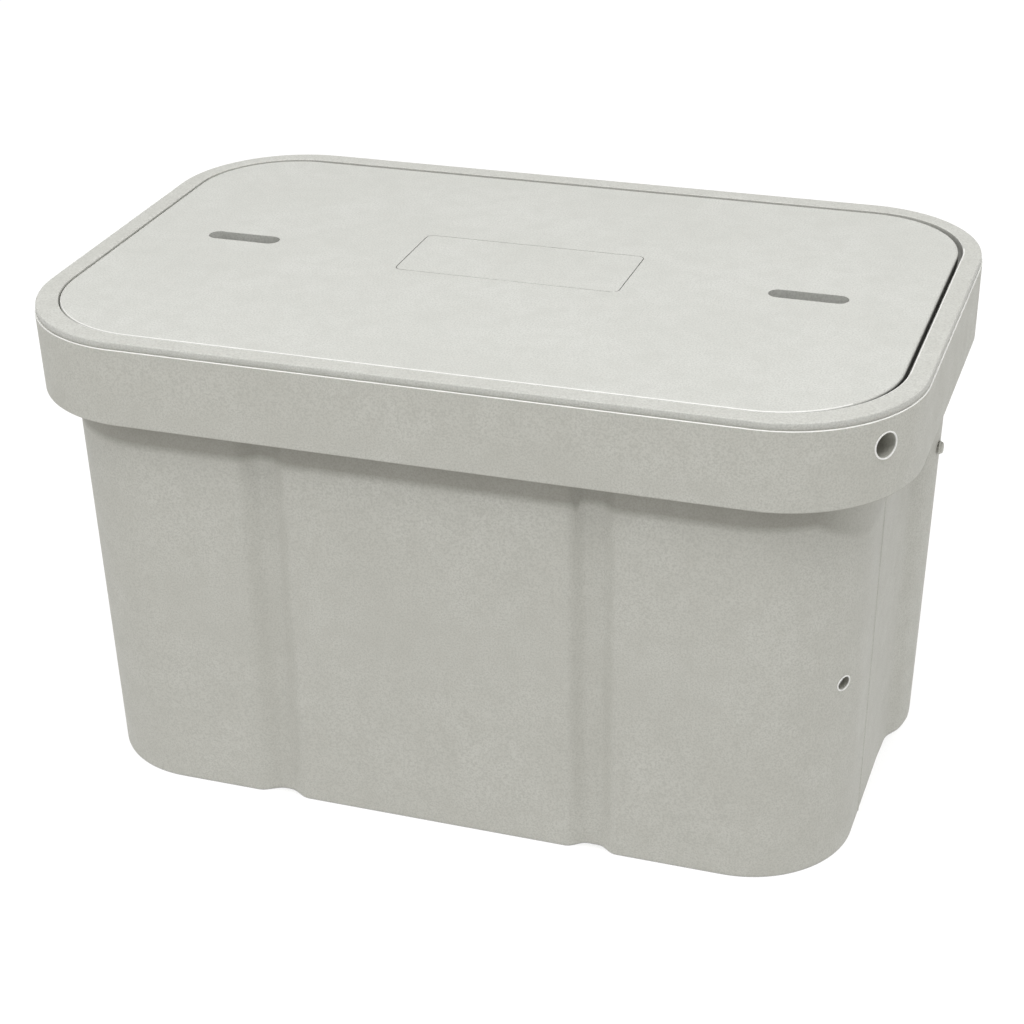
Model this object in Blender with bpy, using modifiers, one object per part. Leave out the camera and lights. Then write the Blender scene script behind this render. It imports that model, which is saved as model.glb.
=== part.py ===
"""Lidded utility box: a moulded plastic box with an open bottom, a deep collar and a lift-off lid.

Metres, +Z up. The origin is on the ground under the middle of the collar, +X runs along the
long side and -Y is the front. Every sub-part is one named object in its own closed mesh.
"""

import math

import bmesh
import bpy
from mathutils import Matrix, Vector

# ---------------------------------------------------------------- driving dimensions
FIT = 0.0003                 # gap left between pieces that touch
HEIGHT = 0.3048              # ground to the top of the rim

RIM_HALF = (0.2700, 0.17065)  # outer half-lengths of the rim's top
RIM_RADIUS = 0.0808
OPENING_HALF = (0.2581, 0.1587)
OPENING_RADIUS = 0.0735
OPENING_REAR_RADIUS = 0.0645  # the opening and the lid turn tighter at the rear
RIM_PLATE = 0.0044           # thickness of the rim's top plate
RIM_EDGE = 0.0008            # small chamfer round the rim's top
WELL_WALL = 0.0040           # wall between the opening and the collar
LEDGE_WIDTH = 0.0200         # ledge that the lid rests on
LEDGE_TOP = HEIGHT - 0.0091
LEDGE_BOTTOM = HEIGHT - 0.0121
TAB_DROP = 0.0247            # screw tabs hang this far below the ledge
TAB_WIDTH = 0.0300
TAB_THICKNESS = 0.0040

SKIRT_STEP = 0.0008          # the collar stands this far proud of the rim's edge
SKIRT_TOP = HEIGHT - RIM_PLATE - FIT
SKIRT_BOTTOM = HEIGHT - 0.05405
SKIRT_TAPER = 0.0011
SKIRT_WALL = 0.0045
SKIRT_FLANGE = 0.0040        # height of the flange inside the collar's top
SKIRT_EDGE = 0.0005

BODY_TOP = LEDGE_BOTTOM - FIT
DRAFT_HEIGHT = SKIRT_BOTTOM  # the walls' draft is stated from the ground to here
BODY_WALL = 0.0050
BODY_HALF_LOW = (0.2413, 0.15915)
BODY_HALF_HIGH = (0.24765, 0.16075)
FRONT_RADIUS_LOW = 0.0643
FRONT_RADIUS_HIGH = 0.0665
REAR_RADIUS = 0.1165
STEP_OUT_LOW = 0.0103        # the rear of each side wall stands out by this much at the ground
STEP_OUT_HIGH = 0.0135       # and by this much at the collar
SIDE_STEP = (                # the step in plan: Y, and its share of the way out
    (-0.0100, 0.0),
    (0.0000, 0.04),
    (0.0100, 0.07),
    (0.0145, 0.12),
    (0.0180, 0.24),
    (0.0218, 0.45),
    (0.0255, 0.65),
    (0.0300, 0.80),
    (0.0350, 0.90),
    (0.0400, 0.98),
)
FLUTE_DEPTH = 0.0064
FLUTES = (                   # each flute's lip, floor's two edges and lip in X: low, then high
    ((-0.1237, -0.1079, -0.1048, -0.0896), (-0.1206, -0.1065, -0.1003, -0.0865)),
    ((0.0795, 0.0918, 0.0983, 0.1111), (0.0830, 0.0935, 0.1020, 0.1145)),
)
OFFSET_SLANT = 0.40          # how far a slope moves sideways for each unit of wall

LID_HALF = (0.2564, 0.1573)
LID_CENTRE = (-0.0010, -0.0004)
LID_RADIUS = 0.0718
LID_REAR_RADIUS = 0.0630
LID_TOP = HEIGHT - 0.0005
LID_THICKNESS = 0.0075
LID_UNDER = LID_TOP - LID_THICKNESS
RIB_DEPTH = 0.0140
CROSS_RIB_DEPTH = 0.0125
RIB_THICKNESS = 0.0035
LONG_RIBS = (-0.0700, 0.0700)
LONG_RIB_HALF = 0.1985
CROSS_RIBS = (-0.1300, -0.0550, 0.0550, 0.1300)
CROSS_RIB_HALF = 0.1280
SLOT_CENTRES = ((-0.1851, 0.0068), (0.1815, 0.0068))
SLOT_LENGTH = 0.0485
SLOT_WIDTH = 0.0125
POCKET_HALF = (0.0260, 0.0080)
POCKET_WALL = 0.0040
POCKET_DEPTH = 0.0178
POCKET_RADIUS = 0.0025
LIFT_BAR_RADIUS = 0.0040
LIFT_BAR_HALF = 0.0117
LIFT_BAR_DROP = 0.0095       # centre of the bar below the lid's underside
PLATE_CENTRE = (-0.0008, 0.0124)
PLATE_HALF = (0.0717, 0.03035)
PLATE_RADIUS = 0.0040
PLATE_THICKNESS = 0.0015

GASKET_INSET = (0.0036, 0.0086)  # outer and inner edge, in from the opening
GROOVE_MARGIN = 0.0003
GROOVE_DEPTH = 0.0010

LOCK_ANGLE = math.radians(-35.2)
LOCK_ORIGIN = Vector((0.1892, -0.08985, 0.2836))  # on the lock's axis, at the corner's centre
LOCK_BORE_RADIUS = 0.0078
LOCK_BLOCK = (0.0637, 0.0785, 0.0220, 0.0116, 0.0088)  # near end, far end, width, below, above
BARREL_RADIUS = 0.0070
BARREL_ENDS = (0.0430, 0.0634)
BARREL_BORE = 0.0043
BARREL_COUNTERBORE = (0.0063, 0.0030)
SPINDLE_RADIUS = 0.0040
SPINDLE_HEAD = (0.0060, 0.0607, 0.0625)
SPINDLE_POST = (0.0040, 0.0620, 0.0675)  # five-sided post that the key turns
SPINDLE_FLANGE = (0.0060, 0.0406, 0.0426)
SPINDLE_TENON = (0.0030, 0.0315)
CAM_PLATE = (0.0362, 0.0402)
CAM_HUB = 0.0058
CAM_REACH = 0.0088
CAM_TIP = 0.0034
RING_NUT = (0.0515, 0.0557, 0.0085)
NUT_SEAT = (0.0560, 0.0105)  # spot face for the ring nut: end and radius
CAM_NUT = (0.0328, 0.0358, 0.0050)

KEEPER_BASE = (0.0120, 0.0420, 0.0090, 0.0210)   # along the axis, then across it
KEEPER_PLATE = 0.0030
KEEPER_GRIP = (0.0350, 0.0410)
KEEPER_LEG = (0.0145, 0.0175)
KEEPER_FOOT = (0.0075, -0.0096, -0.0048)         # inner edge, underside and top, from the axis
KEEPER_SCREWS = (0.0180, 0.0280)
KEEPER_SCREW_LINE = 0.0120

SMALL_HOLE_ANGLE = math.radians(-26.9)   # where it meets the corner, round the corner's centre
SMALL_HOLE_BORE = math.radians(-68.0)    # the way its bore points
SMALL_HOLE_HEIGHT = 0.1235
SMALL_HOLE_RADIUS = 0.0043
PLUG_PLACE = (0.0420, 0.1990)    # Y and Z of the plug in the right wall
PLUG_HOLE_RADIUS = 0.0033

SCREW_HEIGHT = 0.2800
SCREW_HOLE_RADIUS = 0.0025
WALL_SCREWS = ((-1, (-0.1650, 0.0, 0.1650)), (1, (-0.0600, 0.0, 0.0600)))
SIDE_SCREW_Y = -0.0450

CORNER_STEPS = 10
ROUND_STEPS = 24


# ---------------------------------------------------------------- scene helpers
def clear_scene():
    for item in list(bpy.data.objects):
        bpy.data.objects.remove(item, do_unlink=True)


def new_collection(name):
    made = bpy.data.collections.new(name)
    bpy.context.scene.collection.children.link(made)
    return made


def make_material(name, colour, roughness, metallic=0.0):
    made = bpy.data.materials.new(name)
    made.use_nodes = True
    shader = made.node_tree.nodes["Principled BSDF"]
    shader.inputs["Base Color"].default_value = (*colour, 1.0)
    shader.inputs["Roughness"].default_value = roughness
    shader.inputs["Metallic"].default_value = metallic
    return made


def place(name, mesh, colour=None, matrix=None):
    """Puts a mesh in the scene: a part when it has a material, otherwise a cutter."""
    made = bpy.data.objects.new(name, mesh)
    if colour is None:
        cutters.objects.link(made)
        made.hide_render = True
        made.display_type = "WIRE"
    else:
        parts.objects.link(made)
        mesh.materials.append(colour)
    if matrix is not None:
        made.matrix_world = matrix
    return made


def finish_mesh(name, builder):
    """Turns a bmesh into a mesh with flat faces shaded flat and round ones shaded smooth."""
    bmesh.ops.recalc_face_normals(builder, faces=builder.faces)
    mesh = bpy.data.meshes.new(name)
    builder.to_mesh(mesh)
    builder.free()
    mesh.shade_smooth()
    mesh.set_sharp_from_angle(angle=math.radians(35))
    return mesh


def combine(target, cutter, operation="DIFFERENCE"):
    """Cuts or joins with an exact Boolean, which stays on the object."""
    step = target.modifiers.new(cutter.name, "BOOLEAN")
    step.operation = operation
    step.solver = "EXACT"
    step.object = cutter


# ---------------------------------------------------------------- outlines and solids
def arc(centre_x, centre_y, radius, start, end, steps):
    """Points on an arc, from start to end in degrees."""
    made = []
    for step in range(steps + 1):
        angle = math.radians(start + (end - start) * step / steps)
        made.append((centre_x + radius * math.cos(angle), centre_y + radius * math.sin(angle)))
    return made


def rounded_rectangle(half_x, half_y, radius, centre=(0.0, 0.0), steps=CORNER_STEPS, rear=None):
    """A rectangle's outline; its two rear corners may have a radius of their own."""
    made = []
    for side_x, side_y, start in ((1, -1, -90), (1, 1, 0), (-1, 1, 90), (-1, -1, 180)):
        turn = rear if rear is not None and side_y > 0 else radius
        corner_x = centre[0] + side_x * (half_x - turn)
        corner_y = centre[1] + side_y * (half_y - turn)
        made += arc(corner_x, corner_y, turn, start, start + 90, steps)
    return made


def polygon(sides, radius):
    return arc(0.0, 0.0, radius, 0, 360, sides)[:-1]


def loop_at(outline, height):
    return [(x, y, height) for x, y in outline]


def lofted_ring(name, loops):
    """A closed ring through loops of the same length; the last one joins the first."""
    builder = bmesh.new()
    rows = [[builder.verts.new(point) for point in loop] for loop in loops]
    count = len(rows[0])
    for row, below in zip(rows, rows[1:] + rows[:1]):
        for index in range(count):
            after = (index + 1) % count
            builder.faces.new((row[index], row[after], below[after], below[index]))
    return finish_mesh(name, builder)


def slab(name, outlines, low, high):
    """A flat plate between two heights, from a filled curve: an outline and its holes."""
    curve = bpy.data.curves.new(name, "CURVE")
    curve.dimensions = "2D"
    curve.fill_mode = "BOTH"
    curve.extrude = (high - low) / 2
    for outline in outlines:
        spline = curve.splines.new("POLY")
        spline.points.add(len(outline) - 1)
        for point, (x, y) in zip(spline.points, outline):
            point.co = (x, y, 0.0, 1.0)
        spline.use_cyclic_u = True
    guide = bpy.data.objects.new(name + "_curve", curve)
    bpy.context.scene.collection.objects.link(guide)
    guide.location.z = (low + high) / 2
    bpy.context.view_layer.update()
    filled = guide.evaluated_get(bpy.context.evaluated_depsgraph_get())
    raw = bpy.data.meshes.new_from_object(filled)
    raw.transform(guide.matrix_world)
    bpy.data.objects.remove(guide, do_unlink=True)
    builder = bmesh.new()
    builder.from_mesh(raw)
    bmesh.ops.remove_doubles(builder, verts=builder.verts, dist=0.00001)
    bpy.data.meshes.remove(raw)
    return finish_mesh(name, builder)


def block(name, low, high):
    """A box between two opposite corners."""
    builder = bmesh.new()
    size = [b - a for a, b in zip(low, high)]
    middle = [(a + b) / 2 for a, b in zip(low, high)]
    matrix = Matrix.Translation(middle) @ Matrix.Diagonal((*size, 1.0))
    bmesh.ops.create_cube(builder, size=1.0, matrix=matrix)
    return finish_mesh(name, builder)


def cylinder(name, radius, low, high, steps=ROUND_STEPS):
    """A cylinder along its own Z axis."""
    builder = bmesh.new()
    bmesh.ops.create_cone(
        builder,
        cap_ends=True,
        segments=steps,
        radius1=radius,
        radius2=radius,
        depth=high - low,
        matrix=Matrix.Translation((0.0, 0.0, (low + high) / 2)),
    )
    return finish_mesh(name, builder)


def turned(name, profile, colour, matrix, closed=False, steps=ROUND_STEPS):
    """A turned piece: a profile of (radius, height) points swept round its own Z axis."""
    mesh = bpy.data.meshes.new(name)
    edges = [(index, index + 1) for index in range(len(profile) - 1)]
    if closed:
        edges.append((len(profile) - 1, 0))
    mesh.from_pydata([(radius, 0.0, height) for radius, height in profile], edges, [])
    made = place(name, mesh, colour, matrix)
    sweep = made.modifiers.new("turn", "SCREW")
    sweep.axis = "Z"
    sweep.steps = steps
    sweep.render_steps = steps
    sweep.use_merge_vertices = True
    sweep.merge_threshold = 0.00001
    sweep.use_smooth_shade = True
    return made


def facing(point, direction, up=(0.0, 0.0, 1.0)):
    """A frame at a point whose Z axis runs along a direction."""
    axis_z = Vector(direction).normalized()
    axis_x = Vector(up).cross(axis_z).normalized()
    axis_y = axis_z.cross(axis_x)
    turn = Matrix((axis_x, axis_y, axis_z)).transposed().to_4x4()
    return Matrix.Translation(point) @ turn


# ---------------------------------------------------------------- the box and its frame
def eased(fraction):
    return (1.0 - math.cos(math.pi * fraction)) / 2


def between(low, high, fraction):
    return low + (high - low) * fraction


def flute(index, rise, wall_y, inward, inset, mirrored):
    """Points across one groove in the front or back wall, in the direction of travel."""
    edges = [between(low, high, rise) for low, high in zip(*FLUTES[index])]
    shift = OFFSET_SLANT * inset
    steps = 6
    points = []
    for step in range(steps + 1):
        fraction = step / steps
        x = between(edges[0], edges[1], fraction) - shift
        points.append((x, wall_y + inward * FLUTE_DEPTH * eased(fraction)))
    for step in range(steps + 1):
        fraction = step / steps
        x = between(edges[2], edges[3], fraction) + shift
        points.append((x, wall_y + inward * FLUTE_DEPTH * eased(1.0 - fraction)))
    return points[::-1] if mirrored else points


def side_step(half_x, step_out, side, inset):
    """Points where a side wall steps out, from the front to the rear."""
    shift = OFFSET_SLANT * inset
    return [(side * (half_x + share * step_out), y + shift) for y, share in SIDE_STEP]


def body_outline(height, inset):
    """The box's plan at a height, set in from its outer face."""
    rise = height / DRAFT_HEIGHT
    half_x = between(BODY_HALF_LOW[0], BODY_HALF_HIGH[0], rise) - inset
    half_y = between(BODY_HALF_LOW[1], BODY_HALF_HIGH[1], rise) - inset
    front = between(FRONT_RADIUS_LOW, FRONT_RADIUS_HIGH, rise) - inset
    rear = REAR_RADIUS - inset
    step_out = between(STEP_OUT_LOW, STEP_OUT_HIGH, rise)
    rear_x = half_x + step_out - rear
    front_x = half_x - front
    points = []
    for index in (0, 1):
        points += flute(index, rise, -half_y, 1, inset, False)
    points += arc(front_x, front - half_y, front, -90, 0, CORNER_STEPS)
    points += side_step(half_x, step_out, 1, inset)
    points += arc(rear_x, half_y - rear, rear, 0, 90, CORNER_STEPS)
    for index in (1, 0):
        points += flute(index, rise, half_y, -1, inset, True)
    points += arc(-rear_x, half_y - rear, rear, 90, 180, CORNER_STEPS)
    points += side_step(half_x, step_out, -1, inset)[::-1]
    points += arc(-front_x, front - half_y, front, 180, 270, CORNER_STEPS)
    return loop_at(points, height)


def side_wall_x(height):
    """Outer face of the front part of a side wall."""
    return between(BODY_HALF_LOW[0], BODY_HALF_HIGH[0], height / DRAFT_HEIGHT)


def front_wall_y(height):
    return between(BODY_HALF_LOW[1], BODY_HALF_HIGH[1], height / DRAFT_HEIGHT)


def screw_places():
    """Each frame screw's point on the wall's inner face and its outward direction."""
    wall_y = front_wall_y(SCREW_HEIGHT) - BODY_WALL
    wall_x = side_wall_x(SCREW_HEIGHT) - BODY_WALL
    made = []
    for side, places in WALL_SCREWS:
        for x in places:
            made.append((Vector((x, side * wall_y, SCREW_HEIGHT)), Vector((0, side, 0))))
    for side in (-1, 1):
        made.append((Vector((side * wall_x, SIDE_SCREW_Y, SCREW_HEIGHT)), Vector((side, 0, 0))))
    return made


def lock_frame():
    """The lock's frame: Z runs outward along its axis, X across it and Y up."""
    outward = (math.cos(LOCK_ANGLE), math.sin(LOCK_ANGLE), 0.0)
    return facing(LOCK_ORIGIN, outward)


def lock_block_matrix():
    """A frame on the lock's axis with X outward, Y across and Z up."""
    return Matrix.Translation(LOCK_ORIGIN) @ Matrix.Rotation(LOCK_ANGLE, 4, "Z")


def make_box_body(colour):
    loops = [
        body_outline(0.0, 0.0),
        body_outline(BODY_TOP, 0.0),
        body_outline(BODY_TOP, BODY_WALL),
        body_outline(0.0, BODY_WALL),
    ]
    body = place("box_body", lofted_ring("box_body", loops), colour)

    barrel_cut = place("barrel_cut", cylinder("barrel_cut", BARREL_RADIUS + FIT, 0.045, 0.080))
    barrel_cut.matrix_world = lock_frame()
    combine(body, barrel_cut)
    seat_end, seat_radius = NUT_SEAT
    seat_cut = place("nut_seat_cut", cylinder("nut_seat_cut", seat_radius, 0.045, seat_end))
    seat_cut.matrix_world = lock_frame()
    combine(body, seat_cut)

    radius = FRONT_RADIUS_LOW
    corner = Vector((side_wall_x(SMALL_HOLE_HEIGHT) - radius, radius - BODY_HALF_LOW[1], 0.0))
    corner.z = SMALL_HOLE_HEIGHT
    outward = Vector((math.cos(SMALL_HOLE_ANGLE), math.sin(SMALL_HOLE_ANGLE), 0.0))
    along = (math.cos(SMALL_HOLE_BORE), math.sin(SMALL_HOLE_BORE), 0.0)
    drain_cut = place("drain_cut", cylinder("drain_cut", SMALL_HOLE_RADIUS, -0.016, 0.010))
    drain_cut.matrix_world = facing(corner + outward * radius, along)
    combine(body, drain_cut)

    plug_cut = place("plug_cut", cylinder("plug_cut", PLUG_HOLE_RADIUS, -0.015, 0.015))
    plug_cut.matrix_world = plug_frame()
    combine(body, plug_cut)

    depth = 0.0035
    for number, (point, outward) in enumerate(screw_places(), 1):
        name = f"wall_screw_cut_{number}"
        pilot = place(name, cylinder(name, SCREW_HOLE_RADIUS, -0.002, depth, 12))
        pilot.matrix_world = facing(point, outward)
        combine(body, pilot)
    return body


def grown(half, amount):
    return (half[0] + amount, half[1] + amount)


def rim_loop(half, radius, height, rear=None):
    return loop_at(rounded_rectangle(half[0], half[1], radius, rear=rear), height)


def opening_loop(inset, height):
    """A loop parallel to the lid's opening, set in (or, if negative, out) from it."""
    half = grown(OPENING_HALF, -inset)
    return rim_loop(half, OPENING_RADIUS - inset, height, OPENING_REAR_RADIUS - inset)


def make_rim_frame(colour):
    groove = (GASKET_INSET[0] - GROOVE_MARGIN, GASKET_INSET[1] + GROOVE_MARGIN)
    plate_bottom = HEIGHT - RIM_PLATE
    loops = [
        rim_loop(grown(RIM_HALF, -RIM_EDGE), RIM_RADIUS - RIM_EDGE, HEIGHT),
        rim_loop(RIM_HALF, RIM_RADIUS, HEIGHT - RIM_EDGE),
        rim_loop(RIM_HALF, RIM_RADIUS, plate_bottom),
        opening_loop(-WELL_WALL, plate_bottom),
        opening_loop(-WELL_WALL, LEDGE_BOTTOM),
        opening_loop(LEDGE_WIDTH, LEDGE_BOTTOM),
        opening_loop(LEDGE_WIDTH, LEDGE_TOP),
        opening_loop(groove[1], LEDGE_TOP),
        opening_loop(groove[1], LEDGE_TOP - GROOVE_DEPTH),
        opening_loop(groove[0], LEDGE_TOP - GROOVE_DEPTH),
        opening_loop(groove[0], LEDGE_TOP),
        opening_loop(0.0, LEDGE_TOP),
        opening_loop(0.0, HEIGHT),
    ]
    frame = place("rim_frame", lofted_ring("rim_frame", loops), colour)
    embed = 0.0010
    for number, (point, outward) in enumerate(screw_places(), 1):
        name = f"tab_{number}"
        across = TAB_WIDTH / 2
        low = (-across, LEDGE_BOTTOM - TAB_DROP - SCREW_HEIGHT, -FIT - TAB_THICKNESS)
        high = (across, LEDGE_BOTTOM + embed - SCREW_HEIGHT, -FIT)
        tab = place(name, block(name, low, high))
        tab.matrix_world = facing(point - outward * FIT, outward)
        combine(frame, tab, "UNION")
        name = f"tab_screw_cut_{number}"
        hole = place(name, cylinder(name, SCREW_HOLE_RADIUS, -0.010, 0.004, 12))
        hole.matrix_world = facing(point, outward)
        combine(frame, hole)
    return frame


def make_collar_skirt(colour):
    top_half = grown(RIM_HALF, SKIRT_STEP)
    top_radius = RIM_RADIUS + SKIRT_STEP
    low_half = grown(top_half, -SKIRT_TAPER)
    low_radius = top_radius - SKIRT_TAPER
    flange_bottom = SKIRT_TOP - SKIRT_FLANGE
    loops = [
        rim_loop(grown(top_half, -SKIRT_EDGE), top_radius - SKIRT_EDGE, SKIRT_TOP),
        rim_loop(top_half, top_radius, SKIRT_TOP - SKIRT_EDGE),
        rim_loop(low_half, low_radius, SKIRT_BOTTOM + SKIRT_EDGE),
        rim_loop(grown(low_half, -SKIRT_EDGE), low_radius - SKIRT_EDGE, SKIRT_BOTTOM),
        rim_loop(grown(low_half, -SKIRT_WALL), low_radius - SKIRT_WALL, SKIRT_BOTTOM),
        rim_loop(grown(top_half, -SKIRT_WALL), top_radius - SKIRT_WALL, flange_bottom),
        opening_loop(-WELL_WALL - FIT, flange_bottom),
        opening_loop(-WELL_WALL - FIT, SKIRT_TOP),
    ]
    skirt = place("collar_skirt", lofted_ring("collar_skirt", loops), colour)
    near, far, width, below, above = LOCK_BLOCK
    low = (near, -width / 2, -below)
    high = (far, width / 2, above)
    boss = place("lock_boss", block("lock_boss", low, high))
    boss.matrix_world = lock_block_matrix()
    combine(skirt, boss, "UNION")
    bore = place("lock_bore", cylinder("lock_bore", LOCK_BORE_RADIUS, 0.050, 0.095, 32))
    bore.matrix_world = lock_frame()
    combine(skirt, bore)
    return skirt


def make_seat_gasket(colour):
    low = LEDGE_TOP - GROOVE_DEPTH + FIT
    high = LID_UNDER - FIT
    outer, inner = GASKET_INSET
    loops = [
        opening_loop(outer, high),
        opening_loop(outer, low),
        opening_loop(inner, low),
        opening_loop(inner, high),
    ]
    return place("seat_gasket", lofted_ring("seat_gasket", loops), colour)


def make_frame_screws(colour):
    """Pan-head screws that hold the frame's tabs to the box's wall."""
    head_back = -FIT - FIT - TAB_THICKNESS - FIT
    head = 0.0025
    tip = 0.0030
    profile = [
        (0.0, tip),
        (0.0012, tip),
        (0.0020, tip - 0.0010),
        (0.0020, head_back),
        (0.0044, head_back),
        (0.0044, head_back - head + 0.0010),
        (0.0034, head_back - head),
        (0.0, head_back - head),
    ]
    made = []
    for number, (point, outward) in enumerate(screw_places(), 1):
        matrix = facing(point, outward)
        made.append(turned(f"frame_screw_{number}", profile, colour, matrix, steps=16))
    return made


# ---------------------------------------------------------------- the lid
def slot_outline(centre, half_length, half_width, steps=8):
    """A slot with round ends, along X."""
    x, y = centre
    end = half_length - half_width
    right = arc(x + end, y, half_width, -90, 90, steps)
    return right + arc(x - end, y, half_width, 90, 270, steps)


def make_lid_panel(colour):
    outline = rounded_rectangle(*LID_HALF, LID_RADIUS, LID_CENTRE, rear=LID_REAR_RADIUS)
    slots = [slot_outline(centre, SLOT_LENGTH / 2, SLOT_WIDTH / 2) for centre in SLOT_CENTRES]
    lid = place("lid_panel", slab("lid_panel", [outline] + slots, LID_UNDER, LID_TOP), colour)
    embed = 0.0010
    half = RIB_THICKNESS / 2
    long_low = LID_UNDER - RIB_DEPTH
    long_high = LID_UNDER + embed
    cross_low = LID_UNDER - CROSS_RIB_DEPTH
    cross_high = LID_UNDER + embed * 2
    ribs = []
    for y in LONG_RIBS:
        ribs.append(((-LONG_RIB_HALF, y - half, long_low), (LONG_RIB_HALF, y + half, long_high)))
    for x in CROSS_RIBS:
        ribs.append(((x - half, -CROSS_RIB_HALF, cross_low), (x + half, CROSS_RIB_HALF, cross_high)))
    for number, (low, high) in enumerate(ribs, 1):
        name = f"rib_{number}"
        combine(lid, place(name, block(name, low, high)), "UNION")

    for side, centre in zip(("left", "right"), SLOT_CENTRES):
        x, y = centre
        outer = (POCKET_HALF[0] + POCKET_WALL, POCKET_HALF[1] + POCKET_WALL)
        walls = [
            rounded_rectangle(outer[0], outer[1], POCKET_RADIUS, centre, 3),
            rounded_rectangle(POCKET_HALF[0], POCKET_HALF[1], 0.0010, centre, 3),
        ]
        name = "pocket_" + side
        pocket = place(name, slab(name, walls, LID_UNDER - POCKET_DEPTH, LID_UNDER + embed))
        combine(lid, pocket, "UNION")
        name = "bar_cut_" + side
        bar_cut = place(name, cylinder(name, LIFT_BAR_RADIUS + FIT, -0.020, 0.020))
        bar_cut.matrix_world = facing((x, y, LID_UNDER - LIFT_BAR_DROP), (0, 1, 0))
        combine(lid, bar_cut)

    recess_half = grown(PLATE_HALF, FIT)
    outline = rounded_rectangle(*recess_half, PLATE_RADIUS + FIT, PLATE_CENTRE, 4)
    recess_low = LID_TOP - PLATE_THICKNESS - FIT
    recess = place("plate_cut", slab("plate_cut", [outline], recess_low, LID_TOP + 0.002))
    combine(lid, recess)

    for number, along in enumerate(KEEPER_SCREWS, 1):
        name = f"lid_screw_cut_{number}"
        pilot = place(name, cylinder(name, 0.0023, -0.002, 0.0052, 12))
        pilot.matrix_world = Matrix.Translation(keeper_screw_point(along))
        combine(lid, pilot)
    return lid


def make_lid_nameplate(colour):
    """A blank plate let into the lid's top."""
    outline = rounded_rectangle(*PLATE_HALF, PLATE_RADIUS, PLATE_CENTRE, 4)
    mesh = slab("lid_nameplate", [outline], LID_TOP - PLATE_THICKNESS, LID_TOP)
    return place("lid_nameplate", mesh, colour)


def make_lift_bars(colour):
    """A steel bar across each slot, for a lifting hook."""
    for side, (x, y) in zip(("left", "right"), SLOT_CENTRES):
        name = "lift_bar_" + side
        bar = cylinder(name, LIFT_BAR_RADIUS, -LIFT_BAR_HALF, LIFT_BAR_HALF)
        place(name, bar, colour, facing((x, y, LID_UNDER - LIFT_BAR_DROP), (0, 1, 0)))


# ---------------------------------------------------------------- the corner lock
def make_lock_barrel(colour):
    near, far = BARREL_ENDS
    recess_radius, recess_depth = BARREL_COUNTERBORE
    profile = [
        (BARREL_RADIUS, far),
        (BARREL_RADIUS, near),
        (BARREL_BORE, near),
        (BARREL_BORE, far - recess_depth),
        (recess_radius, far - recess_depth),
        (recess_radius, far),
    ]
    return turned("lock_barrel", profile, colour, lock_frame(), closed=True)


def make_lock_spindle(colour):
    head_radius, head_near, head_far = SPINDLE_HEAD
    flange_radius, flange_near, flange_far = SPINDLE_FLANGE
    tenon_radius, tenon_end = SPINDLE_TENON
    profile = [
        (0.0, head_far),
        (head_radius, head_far),
        (head_radius, head_near),
        (SPINDLE_RADIUS, head_near),
        (SPINDLE_RADIUS, flange_far),
        (flange_radius, flange_far),
        (flange_radius, flange_near),
        (tenon_radius, flange_near),
        (tenon_radius, tenon_end),
        (0.0, tenon_end),
    ]
    spindle = turned("lock_spindle", profile, colour, lock_frame())
    post_radius, post_near, post_far = SPINDLE_POST
    post = place("spindle_post", slab("spindle_post", [polygon(5, post_radius)], post_near, post_far))
    post.matrix_world = lock_frame()
    combine(spindle, post, "UNION")
    return spindle


def make_lock_cam(colour):
    """The lever that turns under the lid's keeper. At rest it points up, which is unlocked."""
    hub_start = 200
    hub = arc(0.0, 0.0, CAM_HUB, hub_start - 40, hub_start + 180, 14)
    tip = arc(0.0, CAM_REACH, CAM_TIP, 0, 180, 8)
    cam = place("lock_cam", slab("lock_cam", [hub + tip], *CAM_PLATE), colour, lock_frame())
    name = "cam_cut"
    near, far = CAM_PLATE
    hole = place(name, cylinder(name, SPINDLE_TENON[0] + FIT, near - 0.002, far + 0.002))
    hole.matrix_world = lock_frame()
    combine(cam, hole)
    return cam


def make_nut(name, near, far, half_flat, hole_radius, colour):
    """A hexagon nut on the lock's axis with one flat facing up."""
    outline = polygon(6, half_flat / math.cos(math.radians(30)))
    nut = place(name, slab(name, [outline], near, far), colour, lock_frame())
    cut_name = name + "_cut"
    hole = place(cut_name, cylinder(cut_name, hole_radius, near - 0.002, far + 0.002))
    hole.matrix_world = lock_frame()
    combine(nut, hole)
    return nut


def keeper_screw_point(along):
    """Where a keeper screw meets the lid's underside."""
    place_on_lock = Vector((along, KEEPER_SCREW_LINE, LID_UNDER - LOCK_ORIGIN.z))
    return lock_block_matrix() @ place_on_lock


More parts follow.
